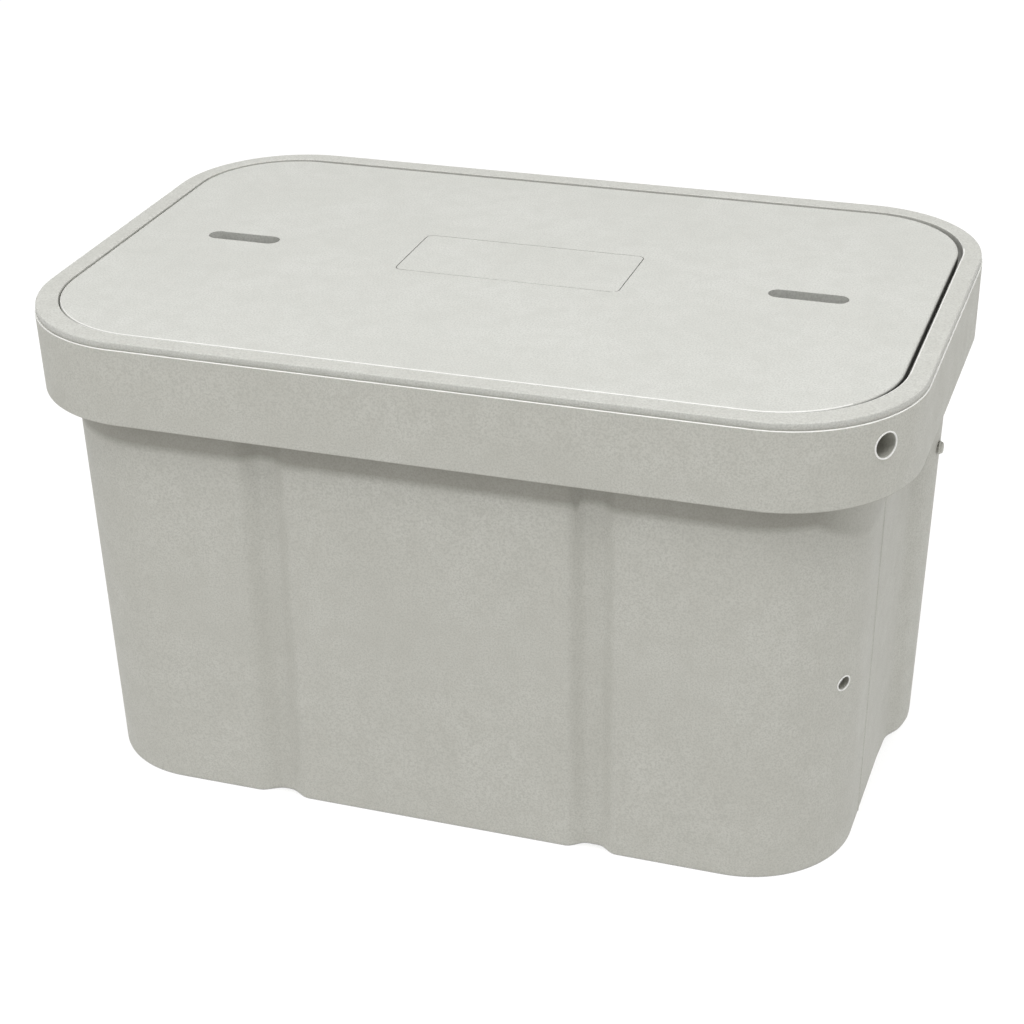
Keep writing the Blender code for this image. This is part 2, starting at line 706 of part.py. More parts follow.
def make_lock_keeper(colour):
    """A bracket under the lid: a base plate, a leg and a foot that the cam turns above."""
    near, far, side_low, side_high = KEEPER_BASE
    base_top = LID_UNDER - FIT - LOCK_ORIGIN.z
    base_bottom = base_top - KEEPER_PLATE
    foot_edge, foot_low, foot_high = KEEPER_FOOT
    base = block("lock_keeper", (near, side_low, base_bottom), (far, side_high, base_top))
    keeper = place("lock_keeper", base, colour, lock_block_matrix())
    grip_near, grip_far = KEEPER_GRIP
    leg_near, leg_far = KEEPER_LEG
    leg = ((grip_near, leg_near, foot_low), (grip_far, leg_far, base_bottom + 0.001))
    foot = ((grip_near, foot_edge, foot_low), (grip_far, leg_far - 0.001, foot_high))
    for name, (low, high) in (("keeper_leg", leg), ("keeper_foot", foot)):
        piece = place(name, block(name, low, high))
        piece.matrix_world = lock_block_matrix()
        combine(keeper, piece, "UNION")
    for number, along in enumerate(KEEPER_SCREWS, 1):
        name = f"keeper_cut_{number}"
        hole = place(name, cylinder(name, 0.0023, -0.010, 0.005, 12))
        hole.matrix_world = Matrix.Translation(keeper_screw_point(along))
        combine(keeper, hole)
    return keeper


def make_keeper_screws(colour):
    head_top = -FIT - KEEPER_PLATE - FIT
    head = 0.0022
    tip = 0.0048
    profile = [
        (0.0, tip),
        (0.0020, tip),
        (0.0020, head_top),
        (0.0038, head_top),
        (0.0038, head_top - head + 0.0008),
        (0.0030, head_top - head),
        (0.0, head_top - head),
    ]
    for number, along in enumerate(KEEPER_SCREWS, 1):
        matrix = Matrix.Translation(keeper_screw_point(along))
        turned(f"keeper_screw_{number}", profile, colour, matrix, steps=16)


# ---------------------------------------------------------------- the plug in the wall
def plug_frame():
    """A frame on the right wall's outer face, pointing out of it."""
    y, z = PLUG_PLACE
    step_out = between(STEP_OUT_LOW, STEP_OUT_HIGH, z / DRAFT_HEIGHT)
    return facing((side_wall_x(z) + step_out, y, z), (1, 0, 0))


def make_wall_plug(colour):
    """A domed blanking plug, pushed through a hole in the right wall."""
    back = -BODY_WALL - 0.0020
    profile = [(0.0, 0.0032)]
    profile += [(r, h) for r, h in ((0.0018, 0.0030), (0.0032, 0.0022), (0.0044, 0.0012))]
    profile += [
        (0.0044, 0.0006),
        (0.0030, 0.0006),
        (0.0030, back),
        (0.0038, back),
        (0.0030, back - 0.0025),
        (0.0, back - 0.0025),
    ]
    return turned("wall_plug", profile, colour, plug_frame())


# ---------------------------------------------------------------- build
clear_scene()
parts = new_collection("utility_box")
cutters = new_collection("cutters")

shell_plastic = make_material("shell_plastic", (0.62, 0.62, 0.585), 0.62)
lid_plastic = make_material("lid_plastic", (0.66, 0.665, 0.635), 0.60)
gasket_rubber = make_material("gasket_rubber", (0.045, 0.045, 0.047), 0.75)
steel = make_material("steel", (0.62, 0.62, 0.61), 0.32, 1.0)

make_box_body(shell_plastic)
make_rim_frame(shell_plastic)
make_collar_skirt(shell_plastic)
make_seat_gasket(gasket_rubber)
make_frame_screws(steel)
make_lid_panel(lid_plastic)
make_lid_nameplate(lid_plastic)
make_lift_bars(steel)
make_lock_barrel(steel)
make_lock_spindle(steel)
make_lock_cam(steel)
make_nut("lock_ring_nut", *RING_NUT, BARREL_RADIUS + FIT, steel)
make_nut("lock_cam_nut", *CAM_NUT, SPINDLE_TENON[0] + FIT, steel)
make_lock_keeper(steel)
make_keeper_screws(steel)
make_wall_plug(shell_plastic)
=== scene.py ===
"""The looks of the lidded utility box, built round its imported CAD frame. Metres, +Z up."""

import math

import bmesh
import bpy
from mathutils import Matrix, Vector


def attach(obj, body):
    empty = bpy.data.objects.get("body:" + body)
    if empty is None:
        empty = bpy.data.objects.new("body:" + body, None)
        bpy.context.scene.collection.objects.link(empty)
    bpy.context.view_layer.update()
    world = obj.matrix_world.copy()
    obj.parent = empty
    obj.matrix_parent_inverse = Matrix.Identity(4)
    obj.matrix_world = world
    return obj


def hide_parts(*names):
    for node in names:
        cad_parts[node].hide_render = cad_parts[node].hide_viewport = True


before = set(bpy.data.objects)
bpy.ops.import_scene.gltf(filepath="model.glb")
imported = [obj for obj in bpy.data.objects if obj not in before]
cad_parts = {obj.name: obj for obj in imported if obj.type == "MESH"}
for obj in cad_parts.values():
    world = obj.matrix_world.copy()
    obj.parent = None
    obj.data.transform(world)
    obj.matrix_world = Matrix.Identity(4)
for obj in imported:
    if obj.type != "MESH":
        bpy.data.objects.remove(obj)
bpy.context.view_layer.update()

# ---------------------------------------------------------------- sizes
FIT = 0.0003  # clearance between pieces
HEIGHT = 0.3048

RIM_HALF = (0.2700, 0.17065)
RIM_RADIUS = 0.0808
OPENING_HALF = (0.2581, 0.1587)
OPENING_RADIUS = 0.0735
OPENING_REAR_RADIUS = 0.0645
RIM_PLATE = 0.0044
RIM_EDGE = 0.0008
WELL_EDGE = 0.0010
WELL_WALL = 0.0040
LEDGE_WIDTH = 0.0200
LEDGE_TOP = HEIGHT - 0.0091
LEDGE_BOTTOM = HEIGHT - 0.0121
LEDGE_EDGE = 0.0005
GROOVE_INSET = (0.0033, 0.0089)  # the seal's groove: outer and inner edge, in from the opening
GROOVE_DEPTH = 0.0010
SEAL_INSET = (0.0036, 0.0086)
SEAL_SHOULDER = 0.0006
TAB_DROP = 0.0247
TAB_WIDTH = 0.0300
TAB_HALF_HEIGHT = 0.0130
TAB_RADIUS = 0.0045
TAB_THICKNESS = 0.0040
TAB_EDGE = 0.0005

SKIRT_STEP = 0.0008
SKIRT_TOP = HEIGHT - RIM_PLATE - FIT
SKIRT_BOTTOM = HEIGHT - 0.05405
SKIRT_TAPER = 0.0011
SKIRT_WALL = 0.0045
SKIRT_FLANGE = 0.0040
SKIRT_TOP_EDGE = 0.0004
SKIRT_LOW_EDGE = 0.0008
SKIRT_INNER_EDGE = 0.0004
SKIRT_ROWS = 5

BODY_TOP = LEDGE_BOTTOM - FIT
DRAFT_HEIGHT = SKIRT_BOTTOM
BODY_WALL = 0.0050
BODY_HALF_LOW = (0.2413, 0.15915)
BODY_HALF_HIGH = (0.24765, 0.16075)
FRONT_RADIUS_LOW = 0.0643
FRONT_RADIUS_HIGH = 0.0665
REAR_RADIUS = 0.1165
STEP_OUT_LOW = 0.0103
STEP_OUT_HIGH = 0.0135
# The side wall's step: places along Y, each with its share of the whole step.
SIDE_STEP = (
    (-0.0100, 0.0),
    (0.0000, 0.04),
    (0.0100, 0.07),
    (0.0145, 0.12),
    (0.0180, 0.24),
    (0.0218, 0.45),
    (0.0255, 0.65),
    (0.0300, 0.80),
    (0.0350, 0.90),
    (0.0400, 0.98),
)
# Each flute's lips and floor edges along the wall: at the ground, and at the collar.
FLUTES = (
    ((-0.1237, -0.1079, -0.1048, -0.0896), (-0.1206, -0.1065, -0.1003, -0.0865)),
    ((0.0795, 0.0918, 0.0983, 0.1111), (0.0830, 0.0935, 0.1020, 0.1145)),
)
FLUTE_DEPTH = 0.0064
FLUTE_STEPS = 10
OFFSET_SLANT = 0.40  # how far the inner wall's outline shifts for each unit of its inset
FOOT_EDGE = 0.0010

LID_HALF = (0.2564, 0.1571)
LID_CENTRE = (-0.0010, -0.0002)
LID_RADIUS = 0.0718
LID_REAR_RADIUS = 0.0630
LID_TOP = HEIGHT - 0.0005
LID_THICKNESS = 0.0075
LID_UNDER = LID_TOP - LID_THICKNESS
LID_EDGE = 0.0017
LID_FINE_EDGE = 0.00025
RIB_DEPTH = 0.0140
CROSS_RIB_DEPTH = 0.0125
RIB_THICKNESS = 0.0035
RIB_EMBED = 0.0010  # how far ribs and pockets run up into the lid
LONG_RIBS = (-0.0700, 0.0700)
LONG_RIB_HALF = 0.1985
CROSS_RIBS = (-0.1300, -0.0550, 0.0550, 0.1300)
CROSS_RIB_HALF = 0.1280
SLOT_CENTRES = ((-0.1851, 0.0068), (0.1815, 0.0068))
SLOT_LENGTH = 0.0485
SLOT_WIDTH = 0.0125
POCKET_HALF = (0.0260, 0.0080)
POCKET_WALL = 0.0040
POCKET_DEPTH = 0.0178
POCKET_RADIUS = 0.0025
POCKET_INNER_RADIUS = 0.0010
SLOT_UNDERCUT = 0.0008
CUT_CLEAR = 0.0020  # how far a cut runs out above the lid
LIFT_BAR_RADIUS = 0.0040
LIFT_BAR_DROP = 0.0095
LIFT_BAR_CUT = (-0.0200, 0.0200)
PLATE_CENTRE = (-0.0008, 0.0124)
PLATE_HALF = (0.0714, 0.03005)
PLATE_RADIUS = 0.0040
PLATE_THICKNESS = 0.0015
PLATE_GROOVE = 0.0005
PLATE_EDGE = 0.0003

LOCK_ANGLE = math.radians(-35.2)
LOCK_ORIGIN = Vector((0.1892, -0.08985, 0.2836))
LOCK_BORE_RADIUS = 0.0078
LOCK_BORE_CUT = (0.0500, 0.0950)
LOCK_BLOCK = (0.0637, 0.0785, 0.0220, 0.0116, 0.0088)  # near, far, width, below, above
BARREL_RADIUS = 0.0070
BARREL_CUT = (0.0450, 0.0800)
NUT_SEAT_CUT = (0.0450, 0.0560)
NUT_SEAT_RADIUS = 0.0105

SMALL_HOLE_ANGLE = math.radians(-26.9)  # where it meets the corner, round the corner's centre
SMALL_HOLE_BORE = math.radians(-45.0)  # the way its bore points
SMALL_HOLE_SPREAD = 1.2  # its width over its height
SMALL_HOLE_HEIGHT = 0.1235
SMALL_HOLE_RADIUS = 0.0043
SMALL_HOLE_CUT = (-0.0160, 0.0100)
SMALL_LIP = 0.00050
LOCK_LIP = 0.00055
LIP_REACH = 1.45  # how far a lip's own corners may lie from its ring, in lip radii
LIP_NEARBY = 0.03  # faces farther than this from a mouth aren't looked at
RING_STEPS = 48
PLUG_PLACE = (0.0420, 0.1990)
PLUG_HOLE_RADIUS = 0.0033
PLUG_CUT = (-0.0150, 0.0150)
PLUG_STEPS = 40

SCREW_HEIGHT = 0.2800
SCREW_HOLE_RADIUS = 0.0025
SCREW_HOLE_STEPS = 20
WALL_SCREW_CUT = (-0.0020, 0.0035)
TAB_SCREW_CUT = (-0.0100, 0.0040)
SCREW_HEAD = 0.0025
SCREW_HEAD_RADIUS = 0.0044
SCREW_TIP = 0.0030
SCREW_SHANK = 0.0020
SCREW_PITCH = 0.0011
SCREW_RECESS = 0.0014
SCREW_HEAD_STEPS = 32
# Along the front and the rear wall: which side it is, and the screws' places on it.
WALL_SCREWS = ((-1, (-0.1650, 0.0, 0.1650)), (1, (-0.0600, 0.0, 0.0600)))
SIDE_SCREW_Y = -0.0450

# Between which heights, or places along X, painted shade sets in.
WALL_SHADOW_HEIGHTS = (0.2312, 0.2368)
HEM_SHADE_HEIGHTS = (SKIRT_BOTTOM + 0.0009, SKIRT_BOTTOM + 0.0001)
JOINT_SHADE_HEIGHTS = (LID_TOP - 0.0006, LID_TOP - 0.0022)
JOINT_SHADE_START = (0.2060, 0.2500)

# The mould's seam on both side walls: a fine ridge, as (place along Y, rise) from its middle.
SEAM_Y = -0.0725
SEAM = ((-0.0006, 0.0), (0.0, 0.00050), (0.0006, 0.0))

CORNER_STEPS = 36
SMALL_CORNER_STEPS = 12
BODY_ROWS = 12
ROUND_STEPS = 48
SMOOTH_ANGLE = 32
WELD = 0.00001


# ---------------------------------------------------------------- colours
# Moulded plastics: the base colour, its clouds and its grain.
SHELL_COLOURS = ((0.526, 0.521, 0.474), (0.555, 0.551, 0.505), (0.495, 0.490, 0.443))
LAND_COLOURS = ((0.591, 0.591, 0.552), (0.618, 0.619, 0.583), (0.558, 0.557, 0.519))
LID_COLOURS = ((0.623, 0.626, 0.589), (0.656, 0.659, 0.625), (0.587, 0.590, 0.554))
# Colours of painted shade: the shell's for its corners and under the collar, the joint's for the
# lid.
SHELL_SHADE = (0.170, 0.160, 0.130)
JOINT_SHADE = (0.030, 0.029, 0.026)
RUBBER_BLACK = (0.022, 0.022, 0.023)
RUBBER_DUST = (0.085, 0.083, 0.078)


# ---------------------------------------------------------------- node materials
def shader_tree(name, roughness, metallic=0.0, specular=0.5):
    made = bpy.data.materials.new(name)
    made.use_nodes = True
    tree = made.node_tree
    shader = tree.nodes["Principled BSDF"]
    shader.inputs["Roughness"].default_value = roughness
    shader.inputs["Metallic"].default_value = metallic
    shader.inputs["Specular IOR Level"].default_value = specular
    return made, tree, shader


def add_node(tree, kind, **sockets):
    node = tree.nodes.new(kind)
    for name, value in sockets.items():
        node.inputs[name].default_value = value
    return node


def noise(tree, place, scale, detail=3.0, roughness=0.5):
    node = add_node(tree, "ShaderNodeTexNoise", Scale=scale, Detail=detail, Roughness=roughness)
    tree.links.new(place, node.inputs["Vector"])
    return node.outputs["Fac"]


def remap(tree, value, span, to_span):
    """Carries one span of values, low and high end, over to another and clamps it there."""
    node = tree.nodes.new("ShaderNodeMapRange")
    for socket, number in zip(("From Min", "From Max", "To Min", "To Max"), (*span, *to_span)):
        node.inputs[socket].default_value = number
    tree.links.new(value, node.inputs["Value"])
    return node.outputs["Result"]


def blend_colours(tree, factor, first, second):
    """Mixes two colours; either may be a fixed colour or another node's output."""
    node = tree.nodes.new("ShaderNodeMix")
    node.data_type = "RGBA"
    tree.links.new(factor, node.inputs["Factor"])
    for socket, colour in ((node.inputs[6], first), (node.inputs[7], second)):
        if isinstance(colour, tuple):
            socket.default_value = (*colour, 1.0)
        else:
            tree.links.new(colour, socket)
    return node.outputs[2]


def add_bump(tree, height, strength, distance, before=None):
    """A bump's normal, laid over another bump's where one is given."""
    node = add_node(tree, "ShaderNodeBump", Strength=strength, Distance=distance)
    tree.links.new(height, node.inputs["Height"])
    if before is not None:
        tree.links.new(before, node.inputs["Normal"])
    return node.outputs["Normal"]


def object_place(tree):
    return tree.nodes.new("ShaderNodeTexCoord").outputs["Object"]


def arithmetic(tree, operation, *values):
    """One operation carried through several nodes' outputs in turn."""
    result = values[0]
    for value in values[1:]:
        node = tree.nodes.new("ShaderNodeMath")
        node.operation = operation
        tree.links.new(result, node.inputs[0])
        tree.links.new(value, node.inputs[1])
        result = node.outputs[0]
    return result


def occlusion(tree, distance):
    """How open to the air a place is: 1 in the open, less in corners."""
    node = add_node(tree, "ShaderNodeAmbientOcclusion", Distance=distance)
    node.samples = 8
    return node.outputs["AO"]


def axes_of(tree, vector):
    """The X, Y and Z outputs of a vector."""
    split = tree.nodes.new("ShaderNodeSeparateXYZ")
    tree.links.new(vector, split.inputs["Vector"])
    return split.outputs["X"], split.outputs["Y"], split.outputs["Z"]


def overhang_shadow(tree, place):
    """A painted shadow on the wall under the collar: lower and weaker on the right end."""
    turning = (0.62, 0.95)
    height = axes_of(tree, place)[2]
    sideways = axes_of(tree, tree.nodes.new("ShaderNodeNewGeometry").outputs["Normal"])[0]
    drop = remap(tree, sideways, turning, (0.0, 0.0170))
    lifted = arithmetic(tree, "ADD", height, drop)
    shadow_depth = remap(tree, lifted, WALL_SHADOW_HEIGHTS, (0.0, 1.0))
    patchy = remap(tree, noise(tree, place, 22.0, 3.0, 0.6), (0.3, 0.7), (0.50, 0.60))
    weaker = remap(tree, sideways, turning, (1.0, 0.30))
    return arithmetic(tree, "MULTIPLY", shadow_depth, patchy, weaker)


def joint_shade(tree, place):
    """A dark painted shade down the joint beside the lid's right end."""
    across, _, height = axes_of(tree, place)
    depth = remap(tree, height, JOINT_SHADE_HEIGHTS, (0.0, 0.96))
    start = remap(tree, across, JOINT_SHADE_START, (0.0, 1.0))
    return arithmetic(tree, "MULTIPLY", depth, start)


def hem_shade(tree, place):
    """A painted shade along the collar's lowest edge."""
    return remap(tree, axes_of(tree, place)[2], HEM_SHADE_HEIGHTS, (0.0, 0.60))


def moulded_plastic(name, colours, shade_colour, roughness, shade_rule=None):
    """Moulded polyethylene: clouded and speckled colour, fine grain and painted shade in its
    corners.

    Its colours are the base, its clouds and its grain. Where a rule is given, it adds the
    painted shade or shadow of one place.
    """
    colour, cloud, grain = colours
    speck = tuple(part * 0.88 for part in grain)
    made, tree, shader = shader_tree(name, roughness, specular=0.35)
    place = object_place(tree)
    clouds = remap(tree, noise(tree, place, 17.0, 4.0, 0.55), (0.36, 0.64), (0.0, 1.0))
    base = blend_colours(tree, clouds, colour, cloud)
    mottle = remap(tree, noise(tree, place, 75.0, 3.0, 0.6), (0.42, 0.66), (0.0, 0.6))
    base = blend_colours(tree, mottle, base, grain)
    specks = remap(tree, noise(tree, place, 950.0, 1.0, 0.6), (0.40, 0.68), (0.0, 0.85))
    base = blend_colours(tree, specks, base, speck)
    # Painted shade: darker where corners and creases shut a place off from the air.
    corner_shade = remap(tree, occlusion(tree, 0.004), (0.15, 0.85), (0.25, 0.0))
    base = blend_colours(tree, corner_shade, base, shade_colour)
    # Painted shade or shadow of one place, by the given rule.
    if shade_rule is not None:
        base = blend_colours(tree, shade_rule(tree, place), base, shade_colour)
    tree.links.new(base, shader.inputs["Base Color"])
    polish = noise(tree, place, 60.0, 3.0, 0.6)
    shine = remap(tree, polish, (0.3, 0.7), (roughness - 0.06, roughness + 0.08))
    tree.links.new(shine, shader.inputs["Roughness"])
    coarse = add_bump(tree, noise(tree, place, 240.0, 2.0, 0.5), 0.20, 0.00025)
    fine = add_bump(tree, noise(tree, place, 1500.0, 2.0, 0.6), 0.35, 0.00016, coarse)
    tree.links.new(fine, shader.inputs["Normal"])
    return made


def highlight_plastic(name, colour, painted_highlight):
    """Pale, smoother plastic that stands for a painted highlight on edges and hole lips."""
    made, tree, shader = shader_tree(name, 0.42, specular=0.45)
    place = object_place(tree)
    patches = remap(tree, noise(tree, place, 160.0, 3.0, 0.6), (0.4, 0.7), (0.0, 0.6))
    base = blend_colours(tree, patches, colour, painted_highlight)
    tree.links.new(base, shader.inputs["Base Color"])
    shine = remap(tree, noise(tree, place, 90.0), (0.3, 0.7), (0.36, 0.50))
    tree.links.new(shine, shader.inputs["Roughness"])
    fine = add_bump(tree, noise(tree, place, 1500.0, 2.0, 0.6), 0.2, 0.0001)
    tree.links.new(fine, shader.inputs["Normal"])
    return made


def satin_steel(name, colour, direction):
    """Drawn stainless steel: fine lines along one direction, and stains."""
    made, tree, shader = shader_tree(name, 0.3, metallic=1.0)
    place = object_place(tree)
    stretch = add_node(tree, "ShaderNodeMapping")
    stretch.inputs["Scale"].default_value = direction
    tree.links.new(place, stretch.inputs["Vector"])
    lines = noise(tree, stretch.outputs["Vector"], 1.0, 4.0, 0.65)
    stain = remap(tree, noise(tree, place, 130.0, 4.0, 0.6), (0.4, 0.7), (0.0, 0.6))
    dull = tuple(part * 0.72 for part in colour)
    base = blend_colours(tree, stain, colour, dull)
    tree.links.new(base, shader.inputs["Base Color"])
    shine = remap(tree, lines, (0.3, 0.7), (0.22, 0.44))
    tree.links.new(shine, shader.inputs["Roughness"])
    tree.links.new(add_bump(tree, lines, 0.25, 0.00008), shader.inputs["Normal"])
    return made


def seal_rubber(name):
    """Black cellular rubber with a little dust in its pores."""
    made, tree, shader = shader_tree(name, 0.75, specular=0.3)
    place = object_place(tree)
    dust = remap(tree, noise(tree, place, 420.0, 4.0, 0.65), (0.52, 0.75), (0.0, 0.7))
    base = blend_colours(tree, dust, RUBBER_BLACK, RUBBER_DUST)
    tree.links.new(base, shader.inputs["Base Color"])
    shine = remap(tree, noise(tree, place, 300.0), (0.3, 0.7), (0.66, 0.86))
    tree.links.new(shine, shader.inputs["Roughness"])
    pores = add_bump(tree, noise(tree, place, 1500.0, 3.0, 0.7), 0.5, 0.0002)
    tree.links.new(pores, shader.inputs["Normal"])
    return made


# ---------------------------------------------------------------- outlines
def arc(centre_x, centre_y, radius, start, end, steps):
    """Points along an arc, from one angle in degrees to the other."""
    made = []
    for step in range(steps + 1):
        angle = math.radians(start + (end - start) * step / steps)
        made.append((centre_x + radius * math.cos(angle), centre_y + radius * math.sin(angle)))
    return made


def rounded_rectangle(half_x, half_y, radius, centre=(0.0, 0.0), steps=CORNER_STEPS, rear=None):
    """A rectangle's outline; its two rear corners may have a radius of their own."""
    made = []
    for side_x, side_y, start in ((1, -1, -90), (1, 1, 0), (-1, 1, 90), (-1, -1, 180)):
        turn = rear if rear is not None and side_y > 0 else radius
        corner_x = centre[0] + side_x * (half_x - turn)
        corner_y = centre[1] + side_y * (half_y - turn)
        made += arc(corner_x, corner_y, turn, start, start + 90, steps)
    return made


def slot_outline(centre, half_length, half_width, steps=16):
    """A slot with round ends."""
    x, y = centre
    end = half_length - half_width
    right = arc(x + end, y, half_width, -90, 90, steps)
    return right + arc(x - end, y, half_width, 90, 270, steps)


def loop_at(outline, height):
    return [(x, y, height) for x, y in outline]


def grown(half, amount):
    return (half[0] + amount, half[1] + amount)


def rim_loop(half, radius, height, rear=None):
    """A rounded rectangle's loop of points at one height."""
    return loop_at(rounded_rectangle(half[0], half[1], radius, rear=rear), height)


def opening_loop(inset, height):
    """The lid opening's outline, moved inwards by an inset, at one height."""
    half = grown(OPENING_HALF, -inset)
    return rim_loop(half, OPENING_RADIUS - inset, height, OPENING_REAR_RADIUS - inset)


def edge_rows(radius, steps, start, end):
    """Insets and rises, or drops, round a rounded edge, from one angle in degrees to the other."""
    made = []
    for step in range(steps + 1):
        angle = math.radians(start + (end - start) * step / steps)
        made.append((radius * (1 - math.cos(angle)), radius * (1 - math.sin(angle))))
    return made


# ---------------------------------------------------------------- meshes and objects
def finish_mesh(name, builder, angle=SMOOTH_ANGLE):
    """Turns a builder into a mesh with outward normals, smooth but for its sharp edges."""
    bmesh.ops.recalc_face_normals(builder, faces=builder.faces)
    mesh = bpy.data.meshes.new(name)
    builder.to_mesh(mesh)
    builder.free()
    mesh.shade_smooth()
    mesh.set_sharp_from_angle(angle=math.radians(angle))
    return mesh


def lofted_ring(name, loops):
    """A closed ring through loops of points; the last loop joins the first."""
    builder = bmesh.new()
    rows = [[builder.verts.new(point) for point in loop] for loop in loops]
    count = len(rows[0])
    for row, below in zip(rows, rows[1:] + rows[:1]):
        for index in range(count):
            after = (index + 1) % count
            builder.faces.new((row[index], row[after], below[after], below[index]))
    return finish_mesh(name, builder)


def simplify(builder, angle):
    """Welds doubled points and dissolves edges between faces that are all but flat."""
    bmesh.ops.remove_doubles(builder, verts=builder.verts, dist=WELD)
    bmesh.ops.dissolve_limit(
        builder,
        angle_limit=math.radians(angle),
        verts=builder.verts,
        edges=builder.edges,
    )


def slab(name, outlines, low, high):
    """A flat plate between two heights. Outlines inside the first one are its holes."""
    curve = bpy.data.curves.new(name, "CURVE")
    curve.dimensions = "2D"
    curve.fill_mode = "BOTH"
    curve.extrude = (high - low) / 2
    for outline in outlines:
        spline = curve.splines.new("POLY")
        spline.points.add(len(outline) - 1)
        for point, (x, y) in zip(spline.points, outline):
            point.co = (x, y, 0.0, 1.0)
        spline.use_cyclic_u = True
    guide = bpy.data.objects.new(name + "_curve", curve)
    bpy.context.scene.collection.objects.link(guide)
    guide.location.z = (low + high) / 2
    bpy.context.view_layer.update()
    filled = guide.evaluated_get(bpy.context.evaluated_depsgraph_get())
    raw = bpy.data.meshes.new_from_object(filled)
    raw.transform(guide.matrix_world)
    bpy.data.objects.remove(guide, do_unlink=True)
    builder = bmesh.new()
    builder.from_mesh(raw)
    simplify(builder, angle=0.5)
    bpy.data.meshes.remove(raw)
    return finish_mesh(name, builder)


def block(name, low, high):
    """A box between two opposite corners."""
    builder = bmesh.new()
    size = [b - a for a, b in zip(low, high)]
    middle = [(a + b) / 2 for a, b in zip(low, high)]
    matrix = Matrix.Translation(middle) @ Matrix.Diagonal((*size, 1.0))
    bmesh.ops.create_cube(builder, size=1.0, matrix=matrix)
    return finish_mesh(name, builder)


def cylinder(radius, low, high, steps=ROUND_STEPS):
    """A solid cylinder along Z, used to cut holes."""
    builder = bmesh.new()
    bmesh.ops.create_cone(
        builder,
        cap_ends=True,
        segments=steps,
        radius1=radius,
        radius2=radius,
        depth=high - low,
        matrix=Matrix.Translation((0.0, 0.0, (low + high) / 2)),
    )
    return finish_mesh("cylinder", builder)


def lathe(name, profile, steps):
    """Turns a profile of (radius, height) points, both ends of it on the axis, about Z."""
    builder = bmesh.new()
    rows = []
    for radius, height in profile:
        if radius == 0.0:
            rows.append([builder.verts.new((0.0, 0.0, height))])
            continue
        row = []
        for step in range(steps):
            turn = 2 * math.pi * step / steps
            row.append(builder.verts.new((radius * math.cos(turn), radius * math.sin(turn), height)))
        rows.append(row)
    for upper, lower in zip(rows, rows[1:]):
        for step in range(steps):
            after = (step + 1) % steps
            if len(upper) == 1:
                builder.faces.new((upper[0], lower[after], lower[step]))
            elif len(lower) == 1:
                builder.faces.new((upper[step], upper[after], lower[0]))
            else:
                builder.faces.new((upper[step], upper[after], lower[after], lower[step]))
    return finish_mesh(name, builder)


def piece(name, mesh, matrix=None):
    """A new object in the scene, placed by a matrix where one is given."""
    made = bpy.data.objects.new(name, mesh)
    bpy.context.scene.collection.objects.link(made)
    if matrix is not None:
        made.matrix_world = matrix
    return made


def apply_steps(target):
    """Applies an object's modifiers, so that only its finished mesh is left."""
    bpy.context.view_layer.update()
    graph = bpy.context.evaluated_depsgraph_get()
    mesh = bpy.data.meshes.new_from_object(target.evaluated_get(graph))
    target.modifiers.clear()
    target.data = mesh


def combine(target, mesh, matrix=None, operation="DIFFERENCE"):
    """Cuts or joins with an exact Boolean and applies it."""
    cutter = piece("cutter", mesh, matrix)
    step = target.modifiers.new("combine", "BOOLEAN")
    step.operation = operation
    step.solver = "EXACT"
    step.object = cutter
    apply_steps(target)
    bpy.data.objects.remove(cutter, do_unlink=True)


def soften(target, width, segments=2, angle=40):
    """Rounds an object's sharp edges and keeps its flat faces flat."""
    step = target.modifiers.new("soften", "BEVEL")
    step.width = width
    step.segments = segments
    step.limit_method = "ANGLE"
    step.angle_limit = math.radians(angle)
    step.use_clamp_overlap = True
    step.harden_normals = True
    apply_steps(target)


def even_normals(target):
    """Shades smooth but for sharp edges, with the large faces flat."""
    target.data.shade_smooth()
    target.data.set_sharp_from_angle(angle=math.radians(SMOOTH_ANGLE))
    step = target.modifiers.new("even", "WEIGHTED_NORMAL")
    step.keep_sharp = True
    step.weight = 100
    apply_steps(target)


def mouth_ring(frame_matrix, half_width, half_height, bulge):
    """Points round a hole's mouth on a wall of radius bulge, with the wall's outward direction."""
    made = []
    for step in range(RING_STEPS):
        turn = 2 * math.pi * step / RING_STEPS
        x = half_width * math.cos(turn)
        y = half_height * math.sin(turn)
        point = Vector((x, y, math.sqrt(bulge * bulge - x * x) - bulge))
        outward = Vector((x, 0.0, bulge)).normalized()
        made.append((frame_matrix @ point, frame_matrix.to_3x3() @ outward))
    return made


def lip_mesh(ring, radius, sides=8):
    """A round bead along a ring of points and outward directions."""
    builder = bmesh.new()
    rows = []
    for index, (point, outward) in enumerate(ring):
        along = (ring[(index + 1) % len(ring)][0] - ring[index - 1][0]).normalized()
        across = along.cross(outward).normalized()
        row = []
        for side in range(sides):
            turn = 2 * math.pi * side / sides
            offset = across * math.cos(turn) + outward * math.sin(turn)
            row.append(builder.verts.new(point + offset * radius))
        rows.append(row)
    for row, after in zip(rows, rows[1:] + rows[:1]):
        for side in range(sides):
            beside = (side + 1) % sides
            builder.faces.new((row[side], row[beside], after[beside], after[side]))
    return finish_mesh("lip", builder, angle=80)


def mark_lip(target, ring, radius):
    """Marks a hole's raised lip, whose faces' corners are all close to its ring."""
    mesh = target.data
    for face in mesh.polygons:
        if (face.center - ring[0][0]).length > LIP_NEARBY:
            continue
        corners = [mesh.vertices[index].co for index in face.vertices]
        farthest = max(min((corner - point).length for point, _ in ring) for corner in corners)
        if farthest < radius * LIP_REACH:
            face.material_index = 1


def mark_faces(target, chosen):
    """Marks the faces that a rule chooses by middle and normal, for a second material."""
    for face in target.data.polygons:
        if chosen(face.center, face.normal):
            face.material_index = 1


